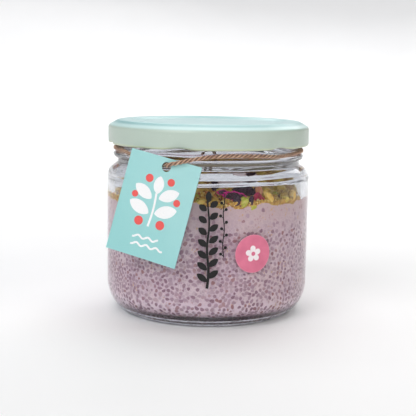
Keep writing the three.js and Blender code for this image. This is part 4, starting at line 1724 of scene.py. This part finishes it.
@dataclass
class DriedPetals:
    """Dried rose petals that lie and stand in the topping, and small bits of them."""

    thickness: float = 0.3
    cup: float = 0.6
    squareness: float = 2.6
    petals: tuple[PetalShape, ...] = (
        PetalShape(15.2, -19.5, 52.0, 10.5, 6.0, 42, 6, -6, 0.6),
        PetalShape(11.6, -30.8, 51.9, 12.0, 4.2, 30, 12, -16, 0.3, PetalTone.EDGED),
        PetalShape(19.6, -34.0, 52.2, 5.4, 5.0, 8, 29, 6, 0.3, PetalTone.CRIMSON, 0.4),
        PetalShape(28.3, 6.5, 51.1, 8.5, 6.0, 76, 0, 3, 0.4, PetalTone.CRIMSON),
        PetalShape(18.8, 2.0, 51.3, 8.0, 6.0, 60, 10, -10, 0.4),
        PetalShape(3.0, 4.5, 50.8, 4.6, 3.8, 50, 0, 12, 0.3),
        PetalShape(-25.0, 4.0, 51.2, 9.5, 6.0, 68, -40, -6, 0.4),
        PetalShape(-17.0, -25.0, 52.2, 9.5, 5.6, 45, -25, 8, 0.5),
    )
    bits: tuple[PetalShape, ...] = (
        PetalShape(6.0, -27.5, 53.1, 5.0, 1.8, 20, 5, -3, 0.2, PetalTone.EDGED),
        PetalShape(11.5, -38.5, 51.6, 3.4, 3.8, 4, 16.5, -10, 0.25),
        PetalShape(17.0, -36.4, 51.7, 2.2, 3.8, 4, 25, 0, 0.2),
        PetalShape(20.8, -20.0, 53.4, 3.0, 3.8, 38, 5, 15, 0.2, PetalTone.SALMON),
        PetalShape(23.4, -9.0, 52.4, 1.8, 1.6, 40, 5, -20, 0.2, PetalTone.SALMON),
        PetalShape(34.5, -18.3, 52.6, 1.7, 1.9, 8, 62, 10, 0.2, PetalTone.CRIMSON),
        PetalShape(-6.6, -38.4, 50.9, 2.6, 1.8, 8, -10, -10, 0.2),
        PetalShape(3.0, -15.5, 53.0, 3.2, 3.2, 30, 5, 10, 0.3),
        PetalShape(20.5, -14.0, 52.0, 3.4, 2.4, 55, 15, -30, 0.3),
        PetalShape(32.5, 11.0, 51.0, 4.0, 2.6, 70, 20, 5, 0.3, PetalTone.CRIMSON),
        PetalShape(-12.0, 10.5, 50.9, 4.4, 3.2, 70, -20, 20, 0.3),
        PetalShape(-31.0, -10.0, 51.6, 4.8, 3.4, 65, -60, -30, 0.3, PetalTone.CRIMSON),
        PetalShape(-11.0, -17.0, 51.6, 5.0, 3.6, 70, -20, 50, 0.3),
        PetalShape(29.5, -22.0, 51.8, 3.6, 2.6, 62, 50, -25, 0.3),
        PetalShape(-4.0, -3.0, 51.2, 4.2, 3.0, 74, 10, 10, 0.3, PetalTone.CRIMSON),
        PetalShape(11.0, 24.0, 48.9, 2.6, 2.0, 84, 40, 10, 0.15),
        PetalShape(-16.0, 27.0, 48.8, 3.4, 2.4, 82, 120, 10, 0.2, PetalTone.CRIMSON),
    )

    def plate(self, shape: PetalShape, sides: int, rings: int, seed: int) -> Shell:
        """One crumpled petal: a polar plate whose two faces meet in a rounded rim.

        With u and v across and up, x = u sqrt(1 - 0.38 v^2) wide / 2, y = v sqrt(1 - 0.45 u^2) high
        / 2, and z = side * half thickness * sqrt(1 - rho^6) - cup u^2 + ruffle + creases.

        Args:
            shape: Its seat and size.
            sides: Points round it.
            rings: Rings on each face.
            seed: Number that sets its creases.

        Returns:
            The closed petal about the jar's axis.
        """
        phases = np.random.default_rng(seed).random(4) * 6
        angles = round_angles(sides)
        shares = np.linspace(0, 1, rings + 1)[1:] ** 0.85
        rho = np.concatenate([[0], shares, shares[-2::-1], [0]])[:, None]
        side = np.repeat([-1.0, 1.0], [rings + 1, rings])[:, None]
        tatter = 1 + 0.05 * np.sin(5 * angles + seed) + 0.04 * np.sin(9 * angles + 2 * seed)
        tatter = tatter + 0.025 * np.sin(17 * angles + 3 * seed)
        corner = np.abs(np.cos(angles)) ** self.squareness + np.abs(np.sin(angles)) ** self.squareness
        power = 1 / np.maximum(corner, 1e-6) ** (1 / self.squareness)
        across = np.clip(rho * np.cos(angles) * tatter * power, -1.4, 1.4)
        upwards = np.clip(rho * np.sin(angles) * tatter * power, -1.2, 1.2)
        x = across * np.sqrt(np.clip(1 - 0.38 * upwards**2, 0.1, 1)) * shape.wide / 2
        x = x * (1 - shape.taper * upwards)
        y = upwards * np.sqrt(np.clip(1 - 0.45 * across**2, 0.1, 1)) * shape.high / 2
        wave = shape.ruffle * (0.4 + 0.6 * upwards) * np.sin(2.6 * across + 1.3 * upwards)
        creases = 0.16 * np.sin(1.9 * x + phases[0]) * np.sin(1.1 * y + phases[1])
        creases = creases + 0.1 * np.sin(3.3 * x - 1.6 * y + phases[2])
        creases = creases + 0.3 * rho**3 * np.sin(7 * angles + phases[3]) * shape.ruffle
        body = side * self.thickness / 2 * np.sqrt(np.clip(1 - rho**6, 0.02, 1))
        local = np.stack([x, y, body - self.cup * across**2 + wave + creases], axis=-1)
        turn = turn_matrix(shape.face, "Z") @ turn_matrix(90 - shape.lean, "X") @ turn_matrix(shape.turn, "Z")
        placed = local @ turn.T + np.array([shape.x, shape.y, shape.height])
        shell = loft(placed[1:-1], placed[0, 0], placed[-1, 0])
        shell.values["rim"] = np.append(np.repeat(rho[1:-1], sides), [0.0, 0.0])
        shell.values["grain"] = np.concatenate([local[1:-1].reshape(-1, 3), local[[0, -1], 0]])
        shell.points = against_wall(shell.points, BORE + 0.14)
        return shell

    def build(self, bench: Bench) -> None:
        """Puts each petal for its CAD node, and the bits of each colouring as one piece.

        Args:
            bench: Where the pieces go.
        """
        finishes = {tone: tone.value.material() for tone in PetalTone}
        for i, shape in enumerate(self.petals, 1):
            shell = self.plate(shape, 96, 14, i)
            bench.put(f"dried_petal_{i}", shell, finishes[shape.tone], (f"petal_{i}",), 70)
        for tone in PetalTone:
            shells = [self.plate(bit, 40, 6, 20 + i) for i, bit in enumerate(self.bits) if bit.tone is tone]
            name = f"petal_bits_{tone.name.lower()}"
            bench.put(name, Shell.together(shells), finishes[tone], crease=70)


def leaf(x: float, y: float, long: float, wide: float, lean: float) -> Array:
    """Outline of a leaf: (long / 2 cos t, wide / 2 sin t sqrt|sin t|), turned by its lean.

    Args:
        x: Its middle across.
        y: Its middle up.
        long: Its length.
        wide: Its width.
        lean: Degrees from lying flat.

    Returns:
        Points as x and y.
    """
    t = round_angles(40)
    flat = np.stack([long / 2 * np.cos(t), wide / 2 * np.sin(t) * np.sqrt(np.abs(np.sin(t)))], axis=-1)
    cos, sin = directions(np.radians(lean))
    return flat @ np.array([[cos, sin], [-sin, cos]]) + np.array([x, y])


def dot(x: float, y: float, radius: float, sides: int = 36) -> Array:
    """Outline of a round dot about that middle."""
    return radius * directions(round_angles(sides)) + np.array([x, y])


@dataclass
class HangTag:
    """The card on the twine, with its hole, its slight curl and a plain leaf print."""

    width: float = 29.5
    height: float = 40.5
    thickness: float = 0.5
    hole_radius: float = 1.9
    hole: Pair = (0.84, 16.76)
    azimuth: float = -16.0
    distance: float = 43.8
    seat_height: float = 57.0
    lean: float = 7.0
    turn: float = -12.8
    offset: Pair = (-8.98, -8.53)
    curl: float = 0.35
    ink: float = 0.03
    sunk: float = 0.01
    sides: int = 220
    leaves: tuple[tuple[float, float, float, float, float], ...] = (
        (-5.6, 5.4, 8.6, 4.6, 152), (4.9, 6.2, 8.6, 4.6, 30), (-5.8, -0.9, 9.2, 4.9, 160),
        (5.2, -0.3, 9.2, 4.9, 22), (-0.2, 9.2, 7.0, 4.2, 92),
    )
    berries: tuple[Point, ...] = (
        (-4.6, 10.9, 1.6), (4.4, 11.4, 1.5), (-8.8, 3.5, 1.3), (8.7, 4.3, 1.4), (-4.6, -6.2, 1.8),
        (4.4, -5.8, 1.8),
    )
    white: InkFinish = InkFinish("white_ink", paint(246, 246, 247), paint(236, 240, 241))
    coral: InkFinish = InkFinish("coral_ink", paint(235, 88, 84), paint(226, 96, 92))

    def on_card(self, points: Array) -> Array:
        """Points of the card's own frame, curled a little and carried to its seat on the jar.

        The curl adds curl * (x / half width)^2 * low, where low grows from 0 at the hole to 1 at the
        foot of the card, towards the viewer.

        Args:
            points: Points across, up and out of the card.

        Returns:
            Points about the jar's axis.
        """
        low = np.clip((self.hole[1] - points[..., 1]) / self.height, 0, 1)
        local = drawn(points, 1, self.curl * (points[..., 0] / (self.width / 2)) ** 2 * low)
        seat = local @ turn_matrix(self.turn, "Z").T + np.array([*self.offset, 0.0])
        upright = seat @ turn_matrix(90 - self.lean, "X").T + np.array([0, -self.distance, self.seat_height])
        return upright @ turn_matrix(self.azimuth, "Z").T

    def card(self) -> Shell:
        """The card: rings from the round hole out to the straight edges, on both faces.

        Returns:
            The closed card, with its own stored coordinates.
        """
        half = np.array([self.width, self.height]) / 2
        centre = np.array(self.hole)
        corners = half * np.array([[1, 1], [-1, 1], [-1, -1], [1, -1]]) - centre
        even = np.linspace(-np.pi, np.pi, self.sides, endpoint=False)
        way = directions(np.sort(np.append(even, np.arctan2(*corners.T[::-1]))))
        limits = np.where(way > 0, half - centre, half + centre) / np.maximum(np.abs(way), 1e-9)
        outer = way * limits.min(axis=1, keepdims=True)
        inner = way * self.hole_radius
        shares = np.concatenate([[0.0, 0.01], np.linspace(0.05, 0.985, 22), [0.995, 1.0]])
        flat = inner[None] + (outer - inner)[None] * shares[:, None, None] + centre
        shell = loft(two_faces(flat, -self.thickness / 2, self.thickness / 2), looped=True)
        shell.values["grain"] = shell.points.copy()
        return shell.reshaped(self.on_card)

    def printed(self, shells: list[Shell]) -> Shell:
        """Flat ink pieces laid on the card's face as one."""
        face = np.array([0, 0, self.thickness / 2 - self.sunk])
        return Shell.together(shells).reshaped(lambda points: self.on_card(points + face))

    def build(self, bench: Bench) -> None:
        """Puts the card and its print: a white sprig with coral berries, and two white waves.

        Args:
            bench: Where the pieces go.
        """
        bench.put("tag_card", self.card(), CardFinish().material(), ("hang_tag",))
        shells = [patch(leaf(*row), self.ink, 5) for row in self.leaves]
        stalk = np.stack([-0.4 + 0.5 * np.sin(np.linspace(0, 3, 30)), np.linspace(-7.5, 5.8, 30)], axis=-1)
        shells.append(ribbon(stalk, np.full(30, 0.42), self.ink))
        x = np.linspace(-5.5, 8.0, 60)
        for level, across in ((-12.2, x[:48]), (-15.2, x)):
            wave = np.stack([across, level + 0.5 * np.sin(across * 1.5)], axis=-1)
            shells.append(ribbon(wave, np.full(len(wave), 0.38), self.ink))
        bench.put("tag_print_white", self.printed(shells), self.white.material())
        berries = [patch(dot(*row), self.ink, 5) for row in self.berries]
        bench.put("tag_print_coral", self.printed(berries), self.coral.material())


@dataclass
class RoundLabel:
    """The round pink label on the glass, with a plain white blossom."""

    radius: float = 7.6
    thickness: float = 0.12
    azimuth: float = 25.0
    height: float = 30.8
    sunk: float = 0.02
    ink: float = 0.03
    eye: float = 0.85
    petal_reach: float = 3.3
    white: InkFinish = InkFinish("label_white_ink", paint(246, 238, 242), paint(238, 222, 230))
    pink: InkFinish = InkFinish("label_pink_ink", paint(214, 108, 140), paint(222, 124, 152))

    def on_glass(self, points: Array) -> Array:
        """Bends flat points round the glass: x along the arc, y up, z outwards."""
        azimuth = self.azimuth + np.degrees(points[..., 0] / WALL)
        return on_jar(azimuth, WALL - self.sunk + points[..., 2], self.height + points[..., 1])

    def raised(self, shell: Shell, lift: float) -> Shell:
        """A flat piece lifted out of the glass and bent round it."""
        return shell.reshaped(lambda points: self.on_glass(points + np.array([0, 0, lift])))

    def build(self, bench: Bench) -> None:
        """Puts the disc for its CAD node, then the blossom and its eye.

        The blossom's outline is reach * (1 + |cos(2.5 (t - 0.4))|^0.7) / 2, with five petals.

        Args:
            bench: Where the pieces go.
        """
        disc = patch(dot(0, 0, self.radius, 96), self.thickness, 12)
        disc.values["rim"] = radius_of(disc.points) / self.radius
        bench.put("label_disc", self.raised(disc, 0), LabelFinish().material(), ("round_label",), 50)
        t = round_angles(120)
        reach = self.petal_reach * (0.5 + 0.5 * np.abs(np.cos(2.5 * (t - 0.4))) ** 0.7)
        blossom = self.raised(patch(reach[:, None] * directions(t), self.ink, 4), self.thickness - 0.01)
        bench.put("label_blossom", blossom, self.white.material(), crease=50)
        eye = self.raised(patch(dot(0, 0, self.eye, 24), self.ink, 2), self.thickness + 0.01)
        bench.put("label_blossom_eye", eye, self.pink.material(), crease=50)


@dataclass
class GlassPrint:
    """Black print on the front of the jar: a leafy stem and a thin twig of berries."""

    ink: float = 0.04
    sunk: float = 0.015
    stem: Point = (0.4, 0.35, 0.33)
    twig: Point = (6.4, 0.25, 0.5)
    black: InkFinish = InkFinish("black_ink", paint(8, 7, 8), paint(14, 12, 13), 0.7)

    def on_glass(self, points: Array) -> Array:
        """Bends flat points round the glass: x along the arc from the front, y the height."""
        return on_jar(np.degrees(points[..., 0] / WALL), WALL - self.sunk + points[..., 2], points[..., 1])

    @staticmethod
    def line(shape: Point, height: Array) -> Array:
        """Upright line whose x is the shape's place + swing * sin(rate * height)."""
        place, swing, rate = shape
        return np.stack([place + swing * np.sin(height * rate), height], axis=-1)

    def build(self, bench: Bench) -> None:
        """Puts the stem with its paired leaves, and the twig with its berries on short stalks.

        Args:
            bench: Where the piece goes.
        """
        leaves = []
        for i, height in enumerate(np.arange(20.5, 52, 4.6)):
            size = 5.0 - 0.22 * i
            leaves += [(-1.75, height + 1.2, size, 2.5, 142), (2.55, height + 2.6, size, 2.5, 38)]
        leaves.append((0.4, 53.6, 4.4, 2.3, 90))
        shells = [patch(leaf(*row), self.ink, 4) for row in leaves]
        stem = self.line(self.stem, np.linspace(17.4, 53, 80))
        shells.append(ribbon(stem, np.linspace(0.55, 0.3, 80), self.ink))
        twig = self.line(self.twig, np.linspace(29.8, 55, 60))
        shells.append(ribbon(twig, np.full(60, 0.2), self.ink))
        for i, height in enumerate(np.arange(31.2, 55, 2.5)):
            side = 1 if i % 2 else -1
            x = self.line(self.twig, height)[0] + side * 1.05
            shells.append(patch(dot(x, height, 0.62, 20), self.ink, 2))
            stalk = np.array([[x - side, height - 0.8], [x, height]])
            shells.append(ribbon(stalk, np.full(2, 0.15), self.ink))
        bench.put("glass_print", Shell.together(shells).reshaped(self.on_glass), self.black.material())


@dataclass
class JuteTwine:
    """Three-strand twine above the bead, through the tag's hole, knotted at the back.

    A point on the jar is azimuth, distance from the axis and height, and one through the hole is
    across, up and out of the card from the hole's middle.
    """

    tag: HangTag
    radius: float = 0.83
    strand: float = 0.39
    pitch: float = 6.0
    knot_radius: float = 0.62
    tail_radius: float = 0.75
    left: tuple[Point, ...] = (
        (-177, 41.9, 68.7), (-160, 40.1, 68.9), (-140, 39.85, 69), (-120, 39.85, 69.05), (-100, 39.85, 69.1),
        (-80, 39.85, 69.2), (-64, 39.95, 69), (-56, 40.6, 68.85), (-49, 41.3, 68.15), (-36, 42, 66.95),
    )
    through: tuple[Point, ...] = (
        (-2.1, 0.8, -2.05), (-0.1, 0.4, -0.75), (0.1, 0.6, 0.6), (1.7, 1.5, 1.5), (4.6, 2.8, 1.6),
    )
    right: tuple[Point, ...] = (
        (-9.5, 43.9, 67.6), (-2, 42.5, 68.55), (6, 41.2, 69.05), (14, 40.1, 69.1), (24, 39.8, 68.95),
        (33, 40.1, 68.75), (43, 40.6, 68.45), (52, 40.3, 68.6), (64, 39.85, 68.9), (79, 39.85, 69),
        (100, 39.85, 69), (120, 39.85, 69), (140, 39.85, 68.95), (160, 40.1, 68.95), (177, 41.9, 68.85),
    )
    knot: Point = (180.0, 42.5, 68.7)
    knot_size: Point = (2.5, 1.24, 1.9)
    tail_bend: float = 43.6
    tail_ends: tuple[Point, ...] = ((173, 44.4, 60.5), (-174, 44.5, 62))
    hairs: int = 150
    hair_radius: float = 0.035

    def route(self) -> Array:
        """Middle line of the twine.

        Returns:
            Points from the knot round the left, through the hole, and back round the right.
        """
        hole = np.array(self.through) + np.array([*self.tag.hole, 0.0])
        left, right = (on_jar(*np.array(side).T) for side in (self.left, self.right))
        return smooth_route(np.concatenate([left, self.tag.on_card(hole), right]), 0.42)

    def tail(self, azimuth: float, radius: float, height: float) -> Array:
        """Middle line of a tail, from the knot over a bend outside the bead to its end.

        Args:
            azimuth: Degrees from the front, of its end.
            radius: Distance of its end from the axis.
            height: Height of its end.

        Returns:
            The line.
        """
        half_way = (azimuth + math.copysign(180, azimuth)) / 2
        bend = on_jar(half_way, self.tail_bend, (height + self.knot[2]) / 2)
        return smooth_route(np.stack([on_jar(*self.knot), bend, on_jar(azimuth, radius, height)]), 0.3)

    def knot_line(self) -> Array:
        """An overhand knot: (sin t + 2 sin 2t, -sin 3t, cos t - 2 cos 2t), drawn to the knot's size.

        Returns:
            The closed line.
        """
        t = np.linspace(0, 2 * np.pi, 90)
        x = np.sin(t) + 2 * np.sin(2 * t)
        z = np.cos(t) - 2 * np.cos(2 * t)
        local = np.stack([x, -np.sin(3 * t), z], axis=-1)
        return local * ((np.array(self.knot_size) - 0.6) / np.array([3, 1, 3])) + on_jar(*self.knot)

    def strands(self, path: Array, radius: float, reference: Point, sides: int) -> Shell:
        """Three strands laid round a line: path + d (a cos p + b sin p), p falling by a turn a pitch.

        Args:
            path: Middle line of the twine.
            radius: Radius of the whole twine.
            reference: Direction that is never along the way.
            sides: Points round each strand.

        Returns:
            The three strands, with their own stored coordinates and their distance from the line.
        """
        side, up = beside_path(path, reference)
        along = lengths_along(path)
        strand = self.strand * radius / self.radius
        ring = strand * directions(round_angles(sides))
        shells = []
        for k in range(3):
            phase = 2 * np.pi * (k / 3 - along / self.pitch)
            offset = side * np.cos(phase)[:, None] + up * np.sin(phase)[:, None]
            uneven = strand * (1 + 0.05 * np.sin(along * 1.3 + 2 * k) + 0.03 * np.sin(along * 3.7 + k))
            shell = tube(path + offset * (radius - strand), uneven, sides, reference)
            around = np.tile(ring + np.array([5 * k, 0]), (len(path), 1))
            ends = [[along[0], 5 * k, 0], [along[-1], 5 * k, 0]]
            grain = np.insert(around, 0, np.repeat(along, sides), axis=1)
            shell.values["grain"] = np.concatenate([grain, ends])
            away = shell.points[:-2].reshape(len(path), sides, 3) - path[:, None]
            shell.values["outer"] = np.append(np.linalg.norm(away, axis=-1).ravel() / radius, [0.5, 0.5])
            shells.append(shell)
        return Shell.together(shells)

    def fibres(self, path: Array) -> Shell:
        """Loose fibres: thin bent hairs that leave the twine at a low angle.

        Args:
            path: Middle line of the twine.

        Returns:
            All fibres.
        """
        random = np.random.default_rng(SEED + 2)
        picks = random.integers(4, len(path) - 8, self.hairs)
        way = unit(path[picks + 3] - path[picks])
        outwards = random.normal(size=(self.hairs, 3))
        outwards = unit(outwards - (outwards * way).sum(axis=1, keepdims=True) * way)
        outwards = unit(outwards + 0.6 * unit(path[picks] * np.array([1, 1, 0])))
        reach = random.uniform(1.0, 2.6, self.hairs)
        rise = random.uniform(0.25, 0.9, self.hairs)
        t = np.linspace(0, 1, 7)
        shells = []
        for i in range(self.hairs):
            line = path[picks[i]] + outwards[i] * (self.radius * 0.85 + rise[i] * t[:, None] ** 1.5)
            line = line + way[i] * reach[i] * t[:, None]
            hair = tube(line, self.hair_radius * (1 - 0.6 * t), 4, (0.3, 0.2, 0.93))
            hair.values.update(grain=hair.points.copy(), outer=np.ones(len(hair.points)))
            shells.append(hair)
        return Shell.together(shells)

    def build(self, bench: Bench) -> None:
        """Puts the twine with its knot and tails for its CAD node, and its loose fibres.

        Args:
            bench: Where the pieces go.
        """
        path = self.route()
        tails = [self.tail(*end) for end in self.tail_ends]
        shells = [
            self.strands(path, self.radius, (0, 0, 1), 10),
            self.strands(self.knot_line(), self.knot_radius, (0.35, 0.9, 0.25), 8),
            *(self.strands(tail, self.tail_radius, (0, 1, 0), 8) for tail in tails),
        ]
        total = sum(lengths_along(line)[-1] for line in (path, *tails))
        log.info("twine length without the knot: %.0f mm", total)
        material = TwineFinish().material()
        bench.put("jute_twine", Shell.together(shells), material, ("twine",), 60)
        bench.put("twine_fibres", self.fibres(path), material, crease=60)


@dataclass(frozen=True)
class SoftLight:
    """A soft rectangular light that looks at the jar, or at another aim."""

    name: str
    place: Point
    size: Pair
    power: float
    aim: Point = (0.0, 0.0, 0.04)
    colour: Point = (1.0, 1.0, 1.0)

    def build(self) -> None:
        """Hangs the light in its place and turns it to its aim."""
        lamp = bpy.data.lights.new(self.name, "AREA")
        lamp.shape = "RECTANGLE"
        lamp.size, lamp.size_y = self.size
        lamp.energy = self.power
        lamp.color = self.colour
        holder = bpy.data.objects.new(self.name, lamp)
        bpy.context.scene.collection.objects.link(holder)
        holder.location = self.place
        holder.rotation_euler = (Vector(self.place) - Vector(self.aim)).to_track_quat("Z", "Y").to_euler()


@dataclass
class Studio:
    """Pale saucer floor, soft lights and the camera at the photograph's angle."""

    flat: float = 900.0
    rim: Pair = (1700.0, 420.0)
    camera_place: Point = (0.0, -0.38925, 0.0998)
    pitch: float = 8.29
    yaw: float = 0.031
    roll: float = 0.92
    lens: float = 78.57
    world: Colour = paint(176, 180, 186)
    world_strength: float = 0.14
    lights: tuple[SoftLight, ...] = (
        SoftLight("key", (-0.7, -0.8, 0.95), (0.7, 0.7), 7.0),
        SoftLight("fill", (0.95, -0.6, 0.55), (0.6, 0.6), 1.8, colour=(1.0, 0.88, 0.68)),
        SoftLight("front", (0.1, -1.25, 0.6), (0.9, 0.4), 4.3),
        SoftLight("overhead", (0.0, 0.25, 1.25), (1.1, 0.9), 9),
        SoftLight("back", (0.25, 1.15, 0.75), (1.2, 0.5), 5),
        SoftLight("backdrop", (0.0, 0.7, 1.1), (1.4, 0.4), 7, (0.0, 1.6, 0.3)),
    )

    def floor(self) -> None:
        """Floor: flat in the middle, its rim rising with the square of the way outwards."""
        out = np.concatenate([[0, 60, 150, 350, 600], np.linspace(self.flat, self.rim[0], 24)])
        share = np.clip((out - self.flat) / (self.rim[0] - self.flat), 0, 1)
        top = np.stack([out, self.rim[1] * share**2 - 0.05], axis=-1)
        shell = turned(np.concatenate([top - np.array([0, 30.0]), top[::-1]]), 96)
        object_of("studio_floor", shell, FloorFinish().material(), 40)

    def camera(self) -> None:
        """Camera at the photograph's place, turned by its yaw, pitch and roll."""
        lens = bpy.data.cameras.new("camera")
        lens.lens = self.lens
        lens.sensor_width = 36.0
        lens.clip_start, lens.clip_end = 0.01, 20.0
        holder = bpy.data.objects.new("camera", lens)
        bpy.context.scene.collection.objects.link(holder)
        holder.matrix_world = Matrix.Translation(self.camera_place)
        for degrees, axis in ((-self.yaw, "Z"), (90 - self.pitch, "X"), (self.roll, "Z")):
            holder.matrix_world = holder.matrix_world @ Matrix.Rotation(math.radians(degrees), 4, axis)
        bpy.context.scene.camera = holder

    def build(self) -> None:
        """Sets floor, lights, world, camera and the light paths that glass needs."""
        self.floor()
        for light in self.lights:
            light.build()
        scene = bpy.context.scene
        world = bpy.data.worlds.new("studio")
        world.use_nodes = True
        background = world.node_tree.nodes["Background"]
        background.inputs["Color"].default_value = self.world
        background.inputs["Strength"].default_value = self.world_strength
        scene.world = world
        self.camera()
        scene.view_settings.view_transform = "Standard"
        scene.cycles.use_denoising = True
        scene.cycles.caustics_reflective = False
        scene.cycles.caustics_refractive = False
        scene.cycles.max_bounces = 18
        scene.cycles.transmission_bounces = 14
        scene.cycles.transparent_max_bounces = 20
        scene.cycles.glossy_bounces = 6


def main() -> None:
    """Builds the jar with its lid, its filling and what hangs and sits on it, then the studio."""
    logging.basicConfig(level=logging.INFO, format="%(name)s: %(message)s")
    low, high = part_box("jar_glass")
    middle = (low + high) / 2
    bench = Bench(np.array([middle.x, middle.y, 0.0]) / MM)
    jar = GlassJar()
    pudding = PuddingBody(jar)
    tag = HangTag()
    for part in (jar, PressedLid(), pudding, ChiaSeeds(pudding), NutTopping(pudding), DriedPetals()):
        part.build(bench)
    for part in (tag, RoundLabel(), GlassPrint(), JuteTwine(tag)):
        part.build(bench)
    Studio().build()


if __name__ == "__main__":
    main()
